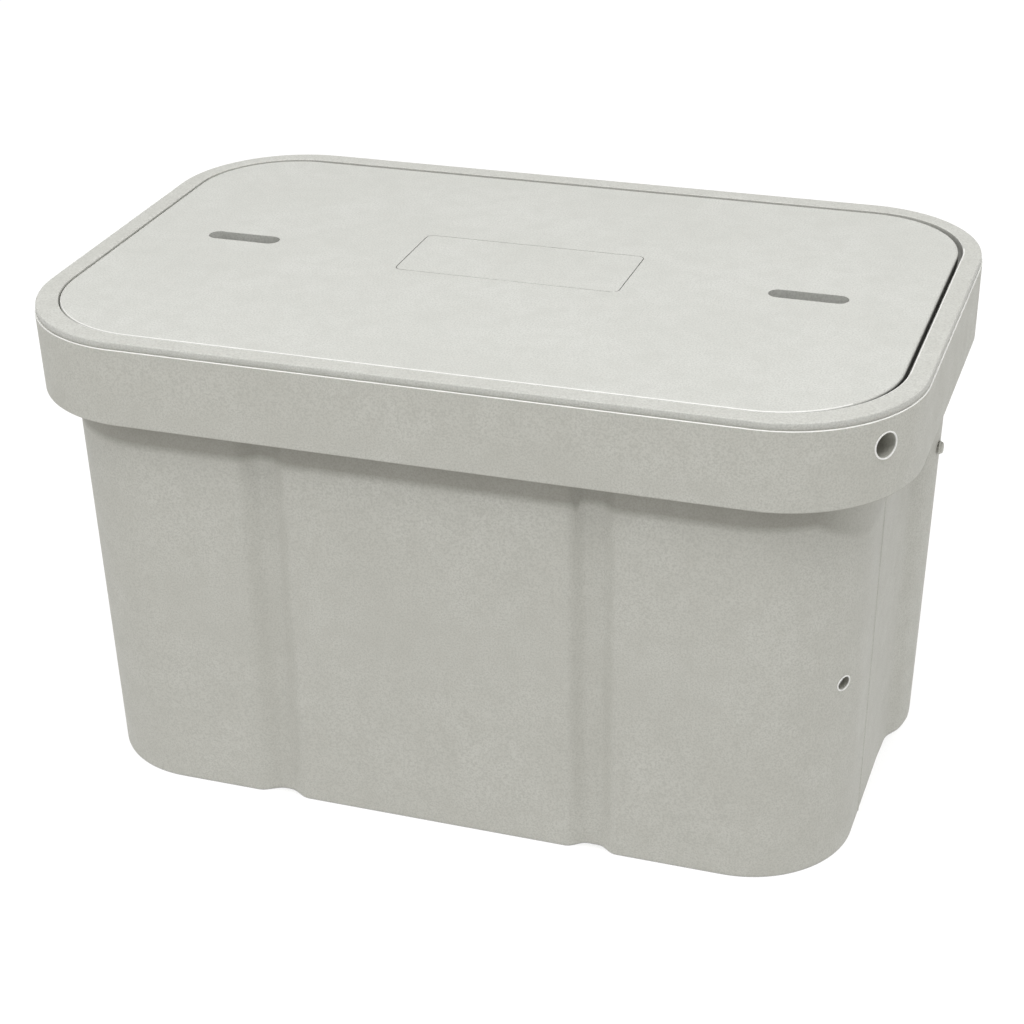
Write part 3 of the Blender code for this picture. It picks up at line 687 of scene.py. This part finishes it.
def settle(target, body, slot, material, *nodes, second=None):
    """Gives a finished piece its material, its body and the CAD nodes that it stands for."""
    mesh = target.data
    marks = [face.material_index for face in mesh.polygons]
    mesh.materials.clear()
    mesh.materials.append(material)
    if second is not None:
        mesh.materials.append(second)
        mesh.polygons.foreach_set("material_index", marks)
    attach(target, body)
    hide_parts(*nodes)


def facing(point, direction):
    """A frame at a point whose Z looks along a level direction and whose Y looks up."""
    axis_z = Vector(direction).normalized()
    axis_x = Vector((0.0, 0.0, 1.0)).cross(axis_z).normalized()
    axis_y = axis_z.cross(axis_x)
    turn = Matrix((axis_x, axis_y, axis_z)).transposed().to_4x4()
    return Matrix.Translation(point) @ turn


# ---------------------------------------------------------------- the box
def eased(fraction):
    """A smooth start and end between 0 and 1."""
    return (1.0 - math.cos(math.pi * fraction)) / 2


def between(low, high, fraction):
    return low + (high - low) * fraction


def smooth_line(points, parts):
    """Extra points along a line through the given ones, on a smooth curve."""
    made = []
    last = len(points) - 1
    for index in range(last):
        before = points[max(index - 1, 0)]
        start = points[index]
        end = points[index + 1]
        after = points[min(index + 2, last)]
        for part in range(parts):
            t = part / parts
            point = []
            for a, b, c, d in zip(before, start, end, after):
                square = 2 * a - 5 * b + 4 * c - d
                cube = 3 * b - 3 * c + d - a
                point.append(b + (c - a) * t / 2 + square * t * t / 2 + cube * t * t * t / 2)
            made.append(tuple(point))
    made.append(tuple(points[-1]))
    return made


def flute(edges, wall_y, inward, inset, mirrored):
    """Points across one groove, in the direction of travel."""
    lip_a, floor_a, floor_b, lip_b = edges
    shift = OFFSET_SLANT * inset
    fractions = [step / FLUTE_STEPS for step in range(FLUTE_STEPS + 1)]
    points = []
    for fraction in fractions:
        x = between(lip_a - shift, floor_a - shift, fraction)
        points.append((x, wall_y + inward * FLUTE_DEPTH * eased(fraction)))
    for fraction in fractions:
        x = between(floor_b + shift, lip_b + shift, fraction)
        points.append((x, wall_y + inward * FLUTE_DEPTH * eased(1.0 - fraction)))
    return points[::-1] if mirrored else points


def flute_edges(index, rise):
    low, high = FLUTES[index]
    return [between(a, b, rise) for a, b in zip(low, high)]


def body_outline(height, inset):
    """The wall's outline at one height; an inset gives its inner face."""
    rise = height / DRAFT_HEIGHT
    half_x = between(BODY_HALF_LOW[0], BODY_HALF_HIGH[0], rise) - inset
    half_y = between(BODY_HALF_LOW[1], BODY_HALF_HIGH[1], rise) - inset
    front = between(FRONT_RADIUS_LOW, FRONT_RADIUS_HIGH, rise) - inset
    rear = REAR_RADIUS - inset
    step_out = between(STEP_OUT_LOW, STEP_OUT_HIGH, rise)
    rear_x = half_x + step_out - rear
    front_x = half_x - front
    shift = OFFSET_SLANT * inset
    step_line = smooth_line(SIDE_STEP, 4)
    points = []
    for index in (0, 1):
        points += flute(flute_edges(index, rise), -half_y, 1, inset, False)
    points += arc(front_x, front - half_y, front, -90, 0, CORNER_STEPS)
    seam_share = 1.0 if inset == 0.0 else 0.0
    ridge = [(out * seam_share, SEAM_Y + along * seam_share) for along, out in SEAM]
    points += [(half_x + out, y) for out, y in ridge]
    points += [(half_x + share * step_out, y + shift) for y, share in step_line]
    points += arc(rear_x, half_y - rear, rear, 0, 90, CORNER_STEPS)
    for index in (1, 0):
        points += flute(flute_edges(index, rise), half_y, -1, inset, True)
    points += arc(-rear_x, half_y - rear, rear, 90, 180, CORNER_STEPS)
    points += [(-half_x - share * step_out, y + shift) for y, share in step_line[::-1]]
    points += [(-half_x - out, y) for out, y in ridge[::-1]]
    points += arc(-front_x, front - half_y, front, 180, 270, CORNER_STEPS)
    return loop_at(points, height)


def side_wall_x(height):
    return between(BODY_HALF_LOW[0], BODY_HALF_HIGH[0], height / DRAFT_HEIGHT)


def front_wall_y(height):
    return between(BODY_HALF_LOW[1], BODY_HALF_HIGH[1], height / DRAFT_HEIGHT)


def screw_places():
    """Each frame screw's place on the wall's inner face, with its outward direction."""
    wall_y = front_wall_y(SCREW_HEIGHT) - BODY_WALL
    wall_x = side_wall_x(SCREW_HEIGHT) - BODY_WALL
    made = []
    for side, places in WALL_SCREWS:
        for x in places:
            made.append((Vector((x, side * wall_y, SCREW_HEIGHT)), Vector((0, side, 0))))
    for side in (-1, 1):
        made.append((Vector((side * wall_x, SIDE_SCREW_Y, SCREW_HEIGHT)), Vector((side, 0, 0))))
    return made


def level_direction(angle):
    return Vector((math.cos(angle), math.sin(angle), 0.0))


def lock_frame():
    """The lock's frame, with Z out along its axis."""
    return facing(LOCK_ORIGIN, level_direction(LOCK_ANGLE))


def lock_block_matrix():
    """The frame of the block behind the lock hole, with X out along the lock's axis."""
    return Matrix.Translation(LOCK_ORIGIN) @ Matrix.Rotation(LOCK_ANGLE, 4, "Z")


def plug_frame():
    """The frame of the right wall's plug, on the wall's outer face."""
    y, z = PLUG_PLACE
    step_out = between(STEP_OUT_LOW, STEP_OUT_HIGH, z / DRAFT_HEIGHT)
    return facing((side_wall_x(z) + step_out, y, z), (1, 0, 0))


def make_box_wall():
    """Loops up the wall's outer face, over its top and down its inner face."""
    loops = [body_outline(rise, inset) for inset, rise in edge_rows(FOOT_EDGE, 3, 90, 0)]
    for row in range(1, BODY_ROWS + 1):
        loops.append(body_outline(between(FOOT_EDGE, BODY_TOP, row / BODY_ROWS), 0.0))
    for row in range(BODY_ROWS, -1, -1):
        loops.append(body_outline(between(FOOT_EDGE, BODY_TOP, row / BODY_ROWS), BODY_WALL))
    loops.append(body_outline(0.0, BODY_WALL - FOOT_EDGE))
    return loops


def make_box_body(material, edge):
    body = piece("box_wall", lofted_ring("box_wall", make_box_wall()))
    combine(body, cylinder(BARREL_RADIUS + FIT, *BARREL_CUT), lock_frame())
    combine(body, cylinder(NUT_SEAT_RADIUS, *NUT_SEAT_CUT), lock_frame())

    radius = FRONT_RADIUS_LOW
    corner_x = side_wall_x(SMALL_HOLE_HEIGHT) - radius
    corner = Vector((corner_x, radius - BODY_HALF_LOW[1], SMALL_HOLE_HEIGHT))
    outward = level_direction(SMALL_HOLE_ANGLE)
    mouth = corner + outward * radius
    wider = Matrix.Diagonal((SMALL_HOLE_SPREAD, 1.0, 1.0, 1.0))
    along_bore = facing(mouth, level_direction(SMALL_HOLE_BORE)) @ wider
    combine(body, cylinder(SMALL_HOLE_RADIUS, *SMALL_HOLE_CUT), along_bore)
    spread = SMALL_HOLE_SPREAD / math.cos(SMALL_HOLE_ANGLE - SMALL_HOLE_BORE)
    half_width = SMALL_HOLE_RADIUS * spread
    small_ring = mouth_ring(facing(mouth, outward), half_width, SMALL_HOLE_RADIUS, radius)
    combine(body, cylinder(PLUG_HOLE_RADIUS, *PLUG_CUT), plug_frame())
    for point, outward in screw_places():
        hole = cylinder(SCREW_HOLE_RADIUS, *WALL_SCREW_CUT, SCREW_HOLE_STEPS)
        combine(body, hole, facing(point, outward))
    combine(body, lip_mesh(small_ring, SMALL_LIP), None, "UNION")
    even_normals(body)
    # The small hole's lip takes the second material: a pale painted highlight round its mouth.
    mark_lip(body, small_ring, SMALL_LIP)
    settle(body, "box", "shell_plastic", material, "box_body", second=edge)


def tab_mesh():
    """One of the rim's screw tabs, around the frame of its screw."""
    low_y = LEDGE_BOTTOM - TAB_DROP - SCREW_HEIGHT
    middle = (0.0, low_y + TAB_HALF_HEIGHT)
    outline = rounded_rectangle(TAB_WIDTH / 2, TAB_HALF_HEIGHT, TAB_RADIUS, middle, 8)
    tab = piece("tab", slab("tab", [outline], -FIT - TAB_THICKNESS, -FIT))
    soften(tab, TAB_EDGE)
    mesh = tab.data.copy()
    bpy.data.objects.remove(tab, do_unlink=True)
    return mesh


def make_rim(material, edge):
    groove_outer, groove_inner = GROOVE_INSET
    groove_low = LEDGE_TOP - GROOVE_DEPTH
    plate_bottom = SKIRT_TOP - 0.0001
    inner = LEDGE_WIDTH - LEDGE_EDGE
    loops = []
    for inset, drop in edge_rows(RIM_EDGE, 4, 90, 0):
        loops.append(rim_loop(grown(RIM_HALF, -inset), RIM_RADIUS - inset, HEIGHT - drop))
    loops += [
        rim_loop(RIM_HALF, RIM_RADIUS, plate_bottom),
        opening_loop(-WELL_WALL, plate_bottom),
        opening_loop(-WELL_WALL, LEDGE_BOTTOM),
        opening_loop(inner, LEDGE_BOTTOM),
        opening_loop(LEDGE_WIDTH, LEDGE_BOTTOM + LEDGE_EDGE),
        opening_loop(LEDGE_WIDTH, LEDGE_TOP - LEDGE_EDGE),
        opening_loop(inner, LEDGE_TOP),
        opening_loop(groove_inner, LEDGE_TOP),
        opening_loop(groove_inner, groove_low),
        opening_loop(groove_outer, groove_low),
        opening_loop(groove_outer, LEDGE_TOP),
        opening_loop(0.0, LEDGE_TOP),
        opening_loop(0.0, HEIGHT - WELL_EDGE * 0.6),
        opening_loop(-WELL_EDGE * 0.25, HEIGHT - WELL_EDGE * 0.28),
        opening_loop(-WELL_EDGE, HEIGHT),
    ]
    rim = piece("rim_land", lofted_ring("rim_land", loops))
    for point, outward in screw_places():
        combine(rim, tab_mesh(), facing(point - outward * FIT, outward), "UNION")
        hole = cylinder(SCREW_HOLE_RADIUS, *TAB_SCREW_CUT, SCREW_HOLE_STEPS)
        combine(rim, hole, facing(point, outward))
    even_normals(rim)
    # The opening's inner chamfer on the rear and left takes a pale painted highlight.
    mark_faces(rim, is_opening_edge)
    settle(rim, "box", "shell_plastic", material, "rim_frame", second=edge)


def is_highlit_side(normal):
    """True for edges that face the rear or the left, which get the pale painted highlight."""
    return 0.8 * normal.y - 0.6 * normal.x > 0.15


def is_opening_edge(middle, normal):
    """True on the small chamfer round the opening's top, whose faces look inward and up."""
    inward = middle.x * normal.x + middle.y * normal.y < 0.0
    high = middle.z > HEIGHT - WELL_EDGE and normal.z < 0.99
    return inward and high and is_highlit_side(normal)


def make_collar(material, edge):
    top_half = grown(RIM_HALF, SKIRT_STEP)
    top_radius = RIM_RADIUS + SKIRT_STEP
    low_half = grown(top_half, -SKIRT_TAPER)
    low_radius = top_radius - SKIRT_TAPER
    flange_bottom = SKIRT_TOP - SKIRT_FLANGE
    loops = []
    for inset, drop in edge_rows(SKIRT_TOP_EDGE, 3, 90, 0):
        loops.append(rim_loop(grown(top_half, -inset), top_radius - inset, SKIRT_TOP - drop))
    for row in range(1, SKIRT_ROWS):
        fraction = row / SKIRT_ROWS
        inset = SKIRT_TAPER * fraction
        height = between(SKIRT_TOP, SKIRT_BOTTOM, fraction)
        loops.append(rim_loop(grown(top_half, -inset), top_radius - inset, height))
    for inset, rise in edge_rows(SKIRT_LOW_EDGE, 3, 0, 90):
        loops.append(rim_loop(grown(low_half, -inset), low_radius - inset, SKIRT_BOTTOM + rise))
    edge_in = SKIRT_INNER_EDGE - SKIRT_WALL
    edge_radius = low_radius + SKIRT_INNER_EDGE - SKIRT_WALL
    edge_top = SKIRT_BOTTOM + SKIRT_INNER_EDGE
    loops += [
        rim_loop(grown(low_half, edge_in), edge_radius, SKIRT_BOTTOM),
        rim_loop(grown(low_half, -SKIRT_WALL), low_radius - SKIRT_WALL, edge_top),
        rim_loop(grown(top_half, -SKIRT_WALL), top_radius - SKIRT_WALL, flange_bottom),
        opening_loop(-WELL_WALL - FIT, flange_bottom),
        opening_loop(-WELL_WALL - FIT, SKIRT_TOP),
    ]
    collar = piece("collar_band", lofted_ring("collar_band", loops))
    near, far, width, below, above = LOCK_BLOCK
    boss = block("boss", (near, -width / 2, -below), (far, width / 2, above))
    combine(collar, boss, lock_block_matrix(), "UNION")
    combine(collar, cylinder(LOCK_BORE_RADIUS, *LOCK_BORE_CUT), lock_frame())
    share = (SKIRT_TOP - LOCK_ORIGIN.z) / (SKIRT_TOP - SKIRT_BOTTOM)
    wall_radius = between(top_radius, low_radius, share)
    mouth = facing(lock_frame() @ Vector((0.0, 0.0, wall_radius)), level_direction(LOCK_ANGLE))
    lock_ring = mouth_ring(mouth, LOCK_BORE_RADIUS, LOCK_BORE_RADIUS, wall_radius)
    combine(collar, lip_mesh(lock_ring, LOCK_LIP), None, "UNION")
    even_normals(collar)
    # The lock hole's lip and the ledge round the rim take a pale painted highlight.
    mark_lip(collar, lock_ring, LOCK_LIP)
    mark_faces(collar, is_collar_top)
    settle(collar, "box", "shell_plastic", material, "collar_skirt", second=edge)


def is_collar_top(middle, normal):
    """True on the narrow ledge left showing round the rim, and on its rounded edge."""
    return middle.z > SKIRT_TOP - SKIRT_TOP_EDGE and normal.z > 0.1


def make_seal(material):
    """A ring with a rounded crown, seated in the ledge's groove."""
    low = LEDGE_TOP - GROOVE_DEPTH + FIT
    high = LID_UNDER - FIT
    outer, inner = SEAL_INSET
    middle = (outer + inner) / 2
    half = (inner - outer) / 2
    loops = [opening_loop(inner, low), opening_loop(outer, low)]
    for angle in (0, 30, 60, 90, 120, 150, 180):
        turn = math.radians(angle)
        crown = between(low + SEAL_SHOULDER, high, math.sin(turn))
        loops.append(opening_loop(middle - half * math.cos(turn), crown))
    seal = piece("seal_ring", lofted_ring("seal_ring", loops))
    settle(seal, "box", "gasket_rubber", material, "seat_gasket")


# ---------------------------------------------------------------- the lid
def is_lid_edge(middle, normal):
    """True on the upper part of the lid's rounded edge, but not at its right end."""
    outward = middle.x * normal.x + middle.y * normal.y > 0.0
    across = max(abs(middle.x) / LID_HALF[0], abs(middle.y) / LID_HALF[1])
    level = math.hypot(normal.x, normal.y)
    lowest = 0.75 if normal.y < -0.3 * level else 0.55
    high = middle.z > LID_TOP - LID_EDGE and lowest < normal.z < 0.97
    return outward and across > 0.85 and high and normal.x < 0.75 * level


def make_lid(material, edge):
    outline = rounded_rectangle(*LID_HALF, LID_RADIUS, LID_CENTRE, rear=LID_REAR_RADIUS)
    lid = piece("lid_plate", slab("lid_plate", [outline], LID_UNDER, LID_TOP))
    soften(lid, LID_EDGE, segments=4)
    half = RIB_THICKNESS / 2
    ribs = []
    for y in LONG_RIBS:
        low = (-LONG_RIB_HALF, y - half, LID_UNDER - RIB_DEPTH)
        ribs.append((low, (LONG_RIB_HALF, y + half, LID_UNDER + RIB_EMBED)))
    for x in CROSS_RIBS:
        low = (x - half, -CROSS_RIB_HALF, LID_UNDER - CROSS_RIB_DEPTH)
        ribs.append((low, (x + half, CROSS_RIB_HALF, LID_UNDER + RIB_EMBED * 2)))
    for low, high in ribs:
        combine(lid, block("rib", low, high), None, "UNION")
    pocket_span = (LID_UNDER - POCKET_DEPTH, LID_UNDER + RIB_EMBED)
    for centre in SLOT_CENTRES:
        walls = [
            rounded_rectangle(*grown(POCKET_HALF, POCKET_WALL), POCKET_RADIUS, centre, 6),
            rounded_rectangle(*POCKET_HALF, POCKET_INNER_RADIUS, centre, 6),
        ]
        combine(lid, slab("pocket", walls, *pocket_span), None, "UNION")
        slot = slot_outline(centre, SLOT_LENGTH / 2, SLOT_WIDTH / 2)
        combine(lid, slab("slot", [slot], LID_UNDER - SLOT_UNDERCUT, LID_TOP + CUT_CLEAR))
        bar = cylinder(LIFT_BAR_RADIUS + FIT, *LIFT_BAR_CUT)
        combine(lid, bar, facing((*centre, LID_UNDER - LIFT_BAR_DROP), (0, 1, 0)))
    recess_half = grown(PLATE_HALF, PLATE_GROOVE)
    recess_radius = PLATE_RADIUS + PLATE_GROOVE
    outline = rounded_rectangle(*recess_half, recess_radius, PLATE_CENTRE, SMALL_CORNER_STEPS)
    recess_low = LID_TOP - PLATE_THICKNESS - FIT
    combine(lid, slab("recess", [outline], recess_low, LID_TOP + CUT_CLEAR))
    soften(lid, LID_FINE_EDGE, angle=50)
    even_normals(lid)
    # The lid's rounded edge, except at its right end, takes a pale painted highlight.
    mark_faces(lid, is_lid_edge)
    settle(lid, "lid", "lid_plastic", material, "lid_panel", second=edge)


def make_nameplate(material):
    outline = rounded_rectangle(*PLATE_HALF, PLATE_RADIUS, PLATE_CENTRE, SMALL_CORNER_STEPS)
    plate = piece("blank_plate", slab("blank_plate", [outline], LID_TOP - PLATE_THICKNESS, LID_TOP))
    soften(plate, PLATE_EDGE, segments=3)
    even_normals(plate)
    settle(plate, "lid", "lid_plastic", material, "lid_nameplate")


# ---------------------------------------------------------------- small fittings
# Steel fittings made from their CAD meshes: node, piece, rounding of the edges and body.
STEEL_FITTINGS = (
    ("lift_bar_left", "hook_bar_left", 0.0005, "lid"),
    ("lift_bar_right", "hook_bar_right", 0.0005, "lid"),
    ("lock_barrel", "barrel_case", 0.0003, "box"),
    ("lock_ring_nut", "barrel_nut", 0.0004, "box"),
    ("lock_spindle", "turning_spindle", 0.0003, "lock"),
    ("lock_cam", "turning_cam", 0.0004, "lock"),
    ("lock_cam_nut", "cam_nut", 0.0003, "lock"),
    ("lock_keeper", "keeper_bracket", 0.0004, "lid"),
    ("keeper_screw_1", "keeper_screw_head_1", 0.0002, "lid"),
    ("keeper_screw_2", "keeper_screw_head_2", 0.0002, "lid"),
)


def refined(node, name, width, body, material):
    """A steel copy of a CAD node's mesh with its sharp edges rounded."""
    made = piece(name, bpy.data.objects[node].data.copy())
    builder = bmesh.new()
    builder.from_mesh(made.data)
    simplify(builder, angle=1.0)
    builder.to_mesh(made.data)
    builder.free()
    soften(made, width, angle=28)
    even_normals(made)
    settle(made, body, "steel", material, node)


def make_wall_plug(material):
    """A domed plug with a rolled flange and a barbed tail."""
    back = -BODY_WALL - 0.0020
    profile = [
        (0.0, 0.0032),
        (0.0024, 0.0031),
        (0.0032, 0.0028),
        (0.0036, 0.0022),
        (0.0038, 0.0014),
        (0.0043, 0.0012),
        (0.0044, 0.0009),
        (0.0043, 0.0006),
        (0.0030, 0.0006),
        (0.0030, back),
        (0.0038, back - 0.0004),
        (0.0030, back - 0.0025),
        (0.0, back - 0.0025),
    ]
    plug = piece("plug_dome", lathe("plug_dome", profile, PLUG_STEPS), plug_frame())
    settle(plug, "box", "shell_plastic", material, "wall_plug")


# A block's six faces, by its corners: four round the near face, then four round the far one.
BLOCK_FACES = ((0, 1, 2, 3), (4, 5, 6, 7), (0, 1, 5, 4), (1, 2, 6, 5), (2, 3, 7, 6), (3, 0, 4, 7))


def cross_recess(target, matrix, depth, size):
    """Cuts a tapered cross into a screw's head, whose face points to the matrix's -Z."""
    half = 0.00045
    start = -0.0006
    for turn in (0.0, math.pi / 2):
        builder = bmesh.new()
        points = []
        for height, reach in ((start, size), (depth, size * 0.35)):
            for x, y in ((-reach, -half), (reach, -half), (reach, half), (-reach, half)):
                points.append(builder.verts.new((x, y, height)))
        for face in BLOCK_FACES:
            builder.faces.new([points[index] for index in face])
        mesh = finish_mesh("cross", builder)
        combine(target, mesh, matrix @ Matrix.Rotation(turn, 4, "Z"))


def pan_screw(name, head_back, matrix):
    """A pan-head screw with a cross recess. Its head is on the matrix's -Z side."""
    tip, shank, head, head_radius = SCREW_TIP, SCREW_SHANK, SCREW_HEAD, SCREW_HEAD_RADIUS
    profile = [(0.0, tip), (shank * 0.55, tip), (shank, tip - shank * 0.5)]
    for index in range(5):
        height = tip - shank * 0.5 - (index + 1) * SCREW_PITCH
        if height < head_back + 0.0012:
            break
        profile += [
            (shank, height + 0.0006),
            (shank * 0.84, height + 0.0003),
            (shank, height),
        ]
    profile += [(shank, head_back), (head_radius, head_back)]
    for angle in range(0, 91, 15):
        turn = math.radians(angle)
        reach = head_radius * (0.55 + 0.45 * math.cos(turn))
        profile.append((reach, head_back - head * (0.25 + 0.75 * math.sin(turn))))
    profile.append((0.0, head_back - head))
    screw = piece(name, lathe(name, profile, SCREW_HEAD_STEPS), matrix)
    top = matrix @ Matrix.Translation((0.0, 0.0, head_back - head))
    cross_recess(screw, matrix.inverted() @ top, SCREW_RECESS, head_radius * 0.55)
    return screw


def make_frame_screws(material):
    head_back = -3 * FIT - TAB_THICKNESS
    for number, (point, outward) in enumerate(screw_places(), 1):
        screw = pan_screw(f"frame_screw_head_{number}", head_back, facing(point, outward))
        settle(screw, "box", "steel", material, f"frame_screw_{number}")


# ---------------------------------------------------------------- stage, light and camera
FLOOR_SIZE = 12.0
FLOOR_DROP = 0.0002
LIGHT_TARGET = (0.0, 0.0, 0.2)
# Each light's name, place, diameter and power.
LIGHTS = (
    ("top_light", (0.25, -0.70, 3.2), 2.4, 82.0),
    ("left_light", (-2.2, -1.9, 1.5), 1.6, 7.0),
    ("right_light", (2.8, -0.5, 1.5), 1.6, 4.6),
)
SKY_STRENGTH = 0.38
CAMERA_LENS = 79.632
CAMERA_PLACE = (0.4286, -1.2265, 0.8173)
# The camera's right, up and backward directions.
CAMERA_AXES = (
    (0.946204, 0.322823, -0.021971),
    (-0.131438, 0.445518, 0.885572),
    (0.295670, -0.835040, 0.463980),
)


def make_floor():
    """A plain pale floor that glows evenly, dimmed into a painted contact shadow where the box shuts
    it off from the air.
    """
    builder = bmesh.new()
    bmesh.ops.create_grid(builder, x_segments=1, y_segments=1, size=FLOOR_SIZE)
    floor = piece("floor", finish_mesh("floor", builder))
    made, tree, shader = shader_tree("floor_glow", 0.9, specular=0.1)
    shader.inputs["Base Color"].default_value = (0.14, 0.14, 0.138, 1.0)
    shader.inputs["Emission Color"].default_value = (1.0, 1.0, 0.995, 1.0)
    # Painted contact shadow: the glow fades where the floor is shut off from the air.
    glow = remap(tree, occlusion(tree, 0.35), (0.05, 0.40), (0.0, 0.93))
    tree.links.new(glow, shader.inputs["Emission Strength"])
    floor.data.materials.append(made)
    floor.location.z = -FLOOR_DROP


def area_light(name, place, size, power):
    """A soft round light that looks at the box."""
    data = bpy.data.lights.new(name, "AREA")
    data.shape = "DISK"
    data.size = size
    data.energy = power
    made = bpy.data.objects.new(name, data)
    bpy.context.scene.collection.objects.link(made)
    made.location = place
    direction = Vector(LIGHT_TARGET) - Vector(place)
    made.rotation_euler = direction.to_track_quat("-Z", "Y").to_euler()


def make_light():
    """An even sky and the soft lights."""
    world = bpy.data.worlds.new("studio")
    bpy.context.scene.world = world
    world.use_nodes = True
    background = world.node_tree.nodes["Background"]
    background.inputs["Color"].default_value = (1.0, 1.0, 0.99, 1.0)
    background.inputs["Strength"].default_value = SKY_STRENGTH
    for light in LIGHTS:
        area_light(*light)


def make_camera():
    """The camera, from the box's front right and above."""
    data = bpy.data.cameras.new("camera")
    data.sensor_width = 36.0
    data.lens = CAMERA_LENS
    data.clip_start = 0.05
    data.clip_end = 60.0
    camera = bpy.data.objects.new("camera", data)
    bpy.context.scene.collection.objects.link(camera)
    turn = Matrix(CAMERA_AXES).transposed().to_4x4()
    camera.matrix_world = Matrix.Translation(CAMERA_PLACE) @ turn
    bpy.context.scene.camera = camera


# ---------------------------------------------------------------- build
# The wall carries a painted shadow under the collar.
wall = moulded_plastic("wall_look", SHELL_COLOURS, SHELL_SHADE, 0.58, overhang_shadow)
# The collar carries a painted shade along its hem.
collar = moulded_plastic("collar_look", SHELL_COLOURS, SHELL_SHADE, 0.58, hem_shade)
shell = moulded_plastic("shell_look", SHELL_COLOURS, SHELL_SHADE, 0.58)
land = moulded_plastic("land_look", LAND_COLOURS, SHELL_SHADE, 0.56)
# The lid carries a dark painted shade down the joint by its right end.
panel = moulded_plastic("lid_look", LID_COLOURS, JOINT_SHADE, 0.56, joint_shade)
# Pale plastic for the painted highlights on edges and hole lips.
painted_highlight = highlight_plastic("highlight_look", (0.860, 0.858, 0.830), (0.760, 0.757, 0.725))
steel = satin_steel("steel_look", (0.62, 0.62, 0.605), (900.0, 900.0, 90.0))
rubber = seal_rubber("rubber_look")

make_box_body(wall, painted_highlight)
make_rim(land, painted_highlight)
make_collar(collar, painted_highlight)
make_seal(rubber)
make_lid(panel, painted_highlight)
make_nameplate(panel)
make_wall_plug(shell)
make_frame_screws(steel)
for node, name, width, body in STEEL_FITTINGS:
    refined(node, name, width, body, steel)

make_floor()
make_light()
make_camera()
bpy.context.scene.view_settings.view_transform = "Standard"
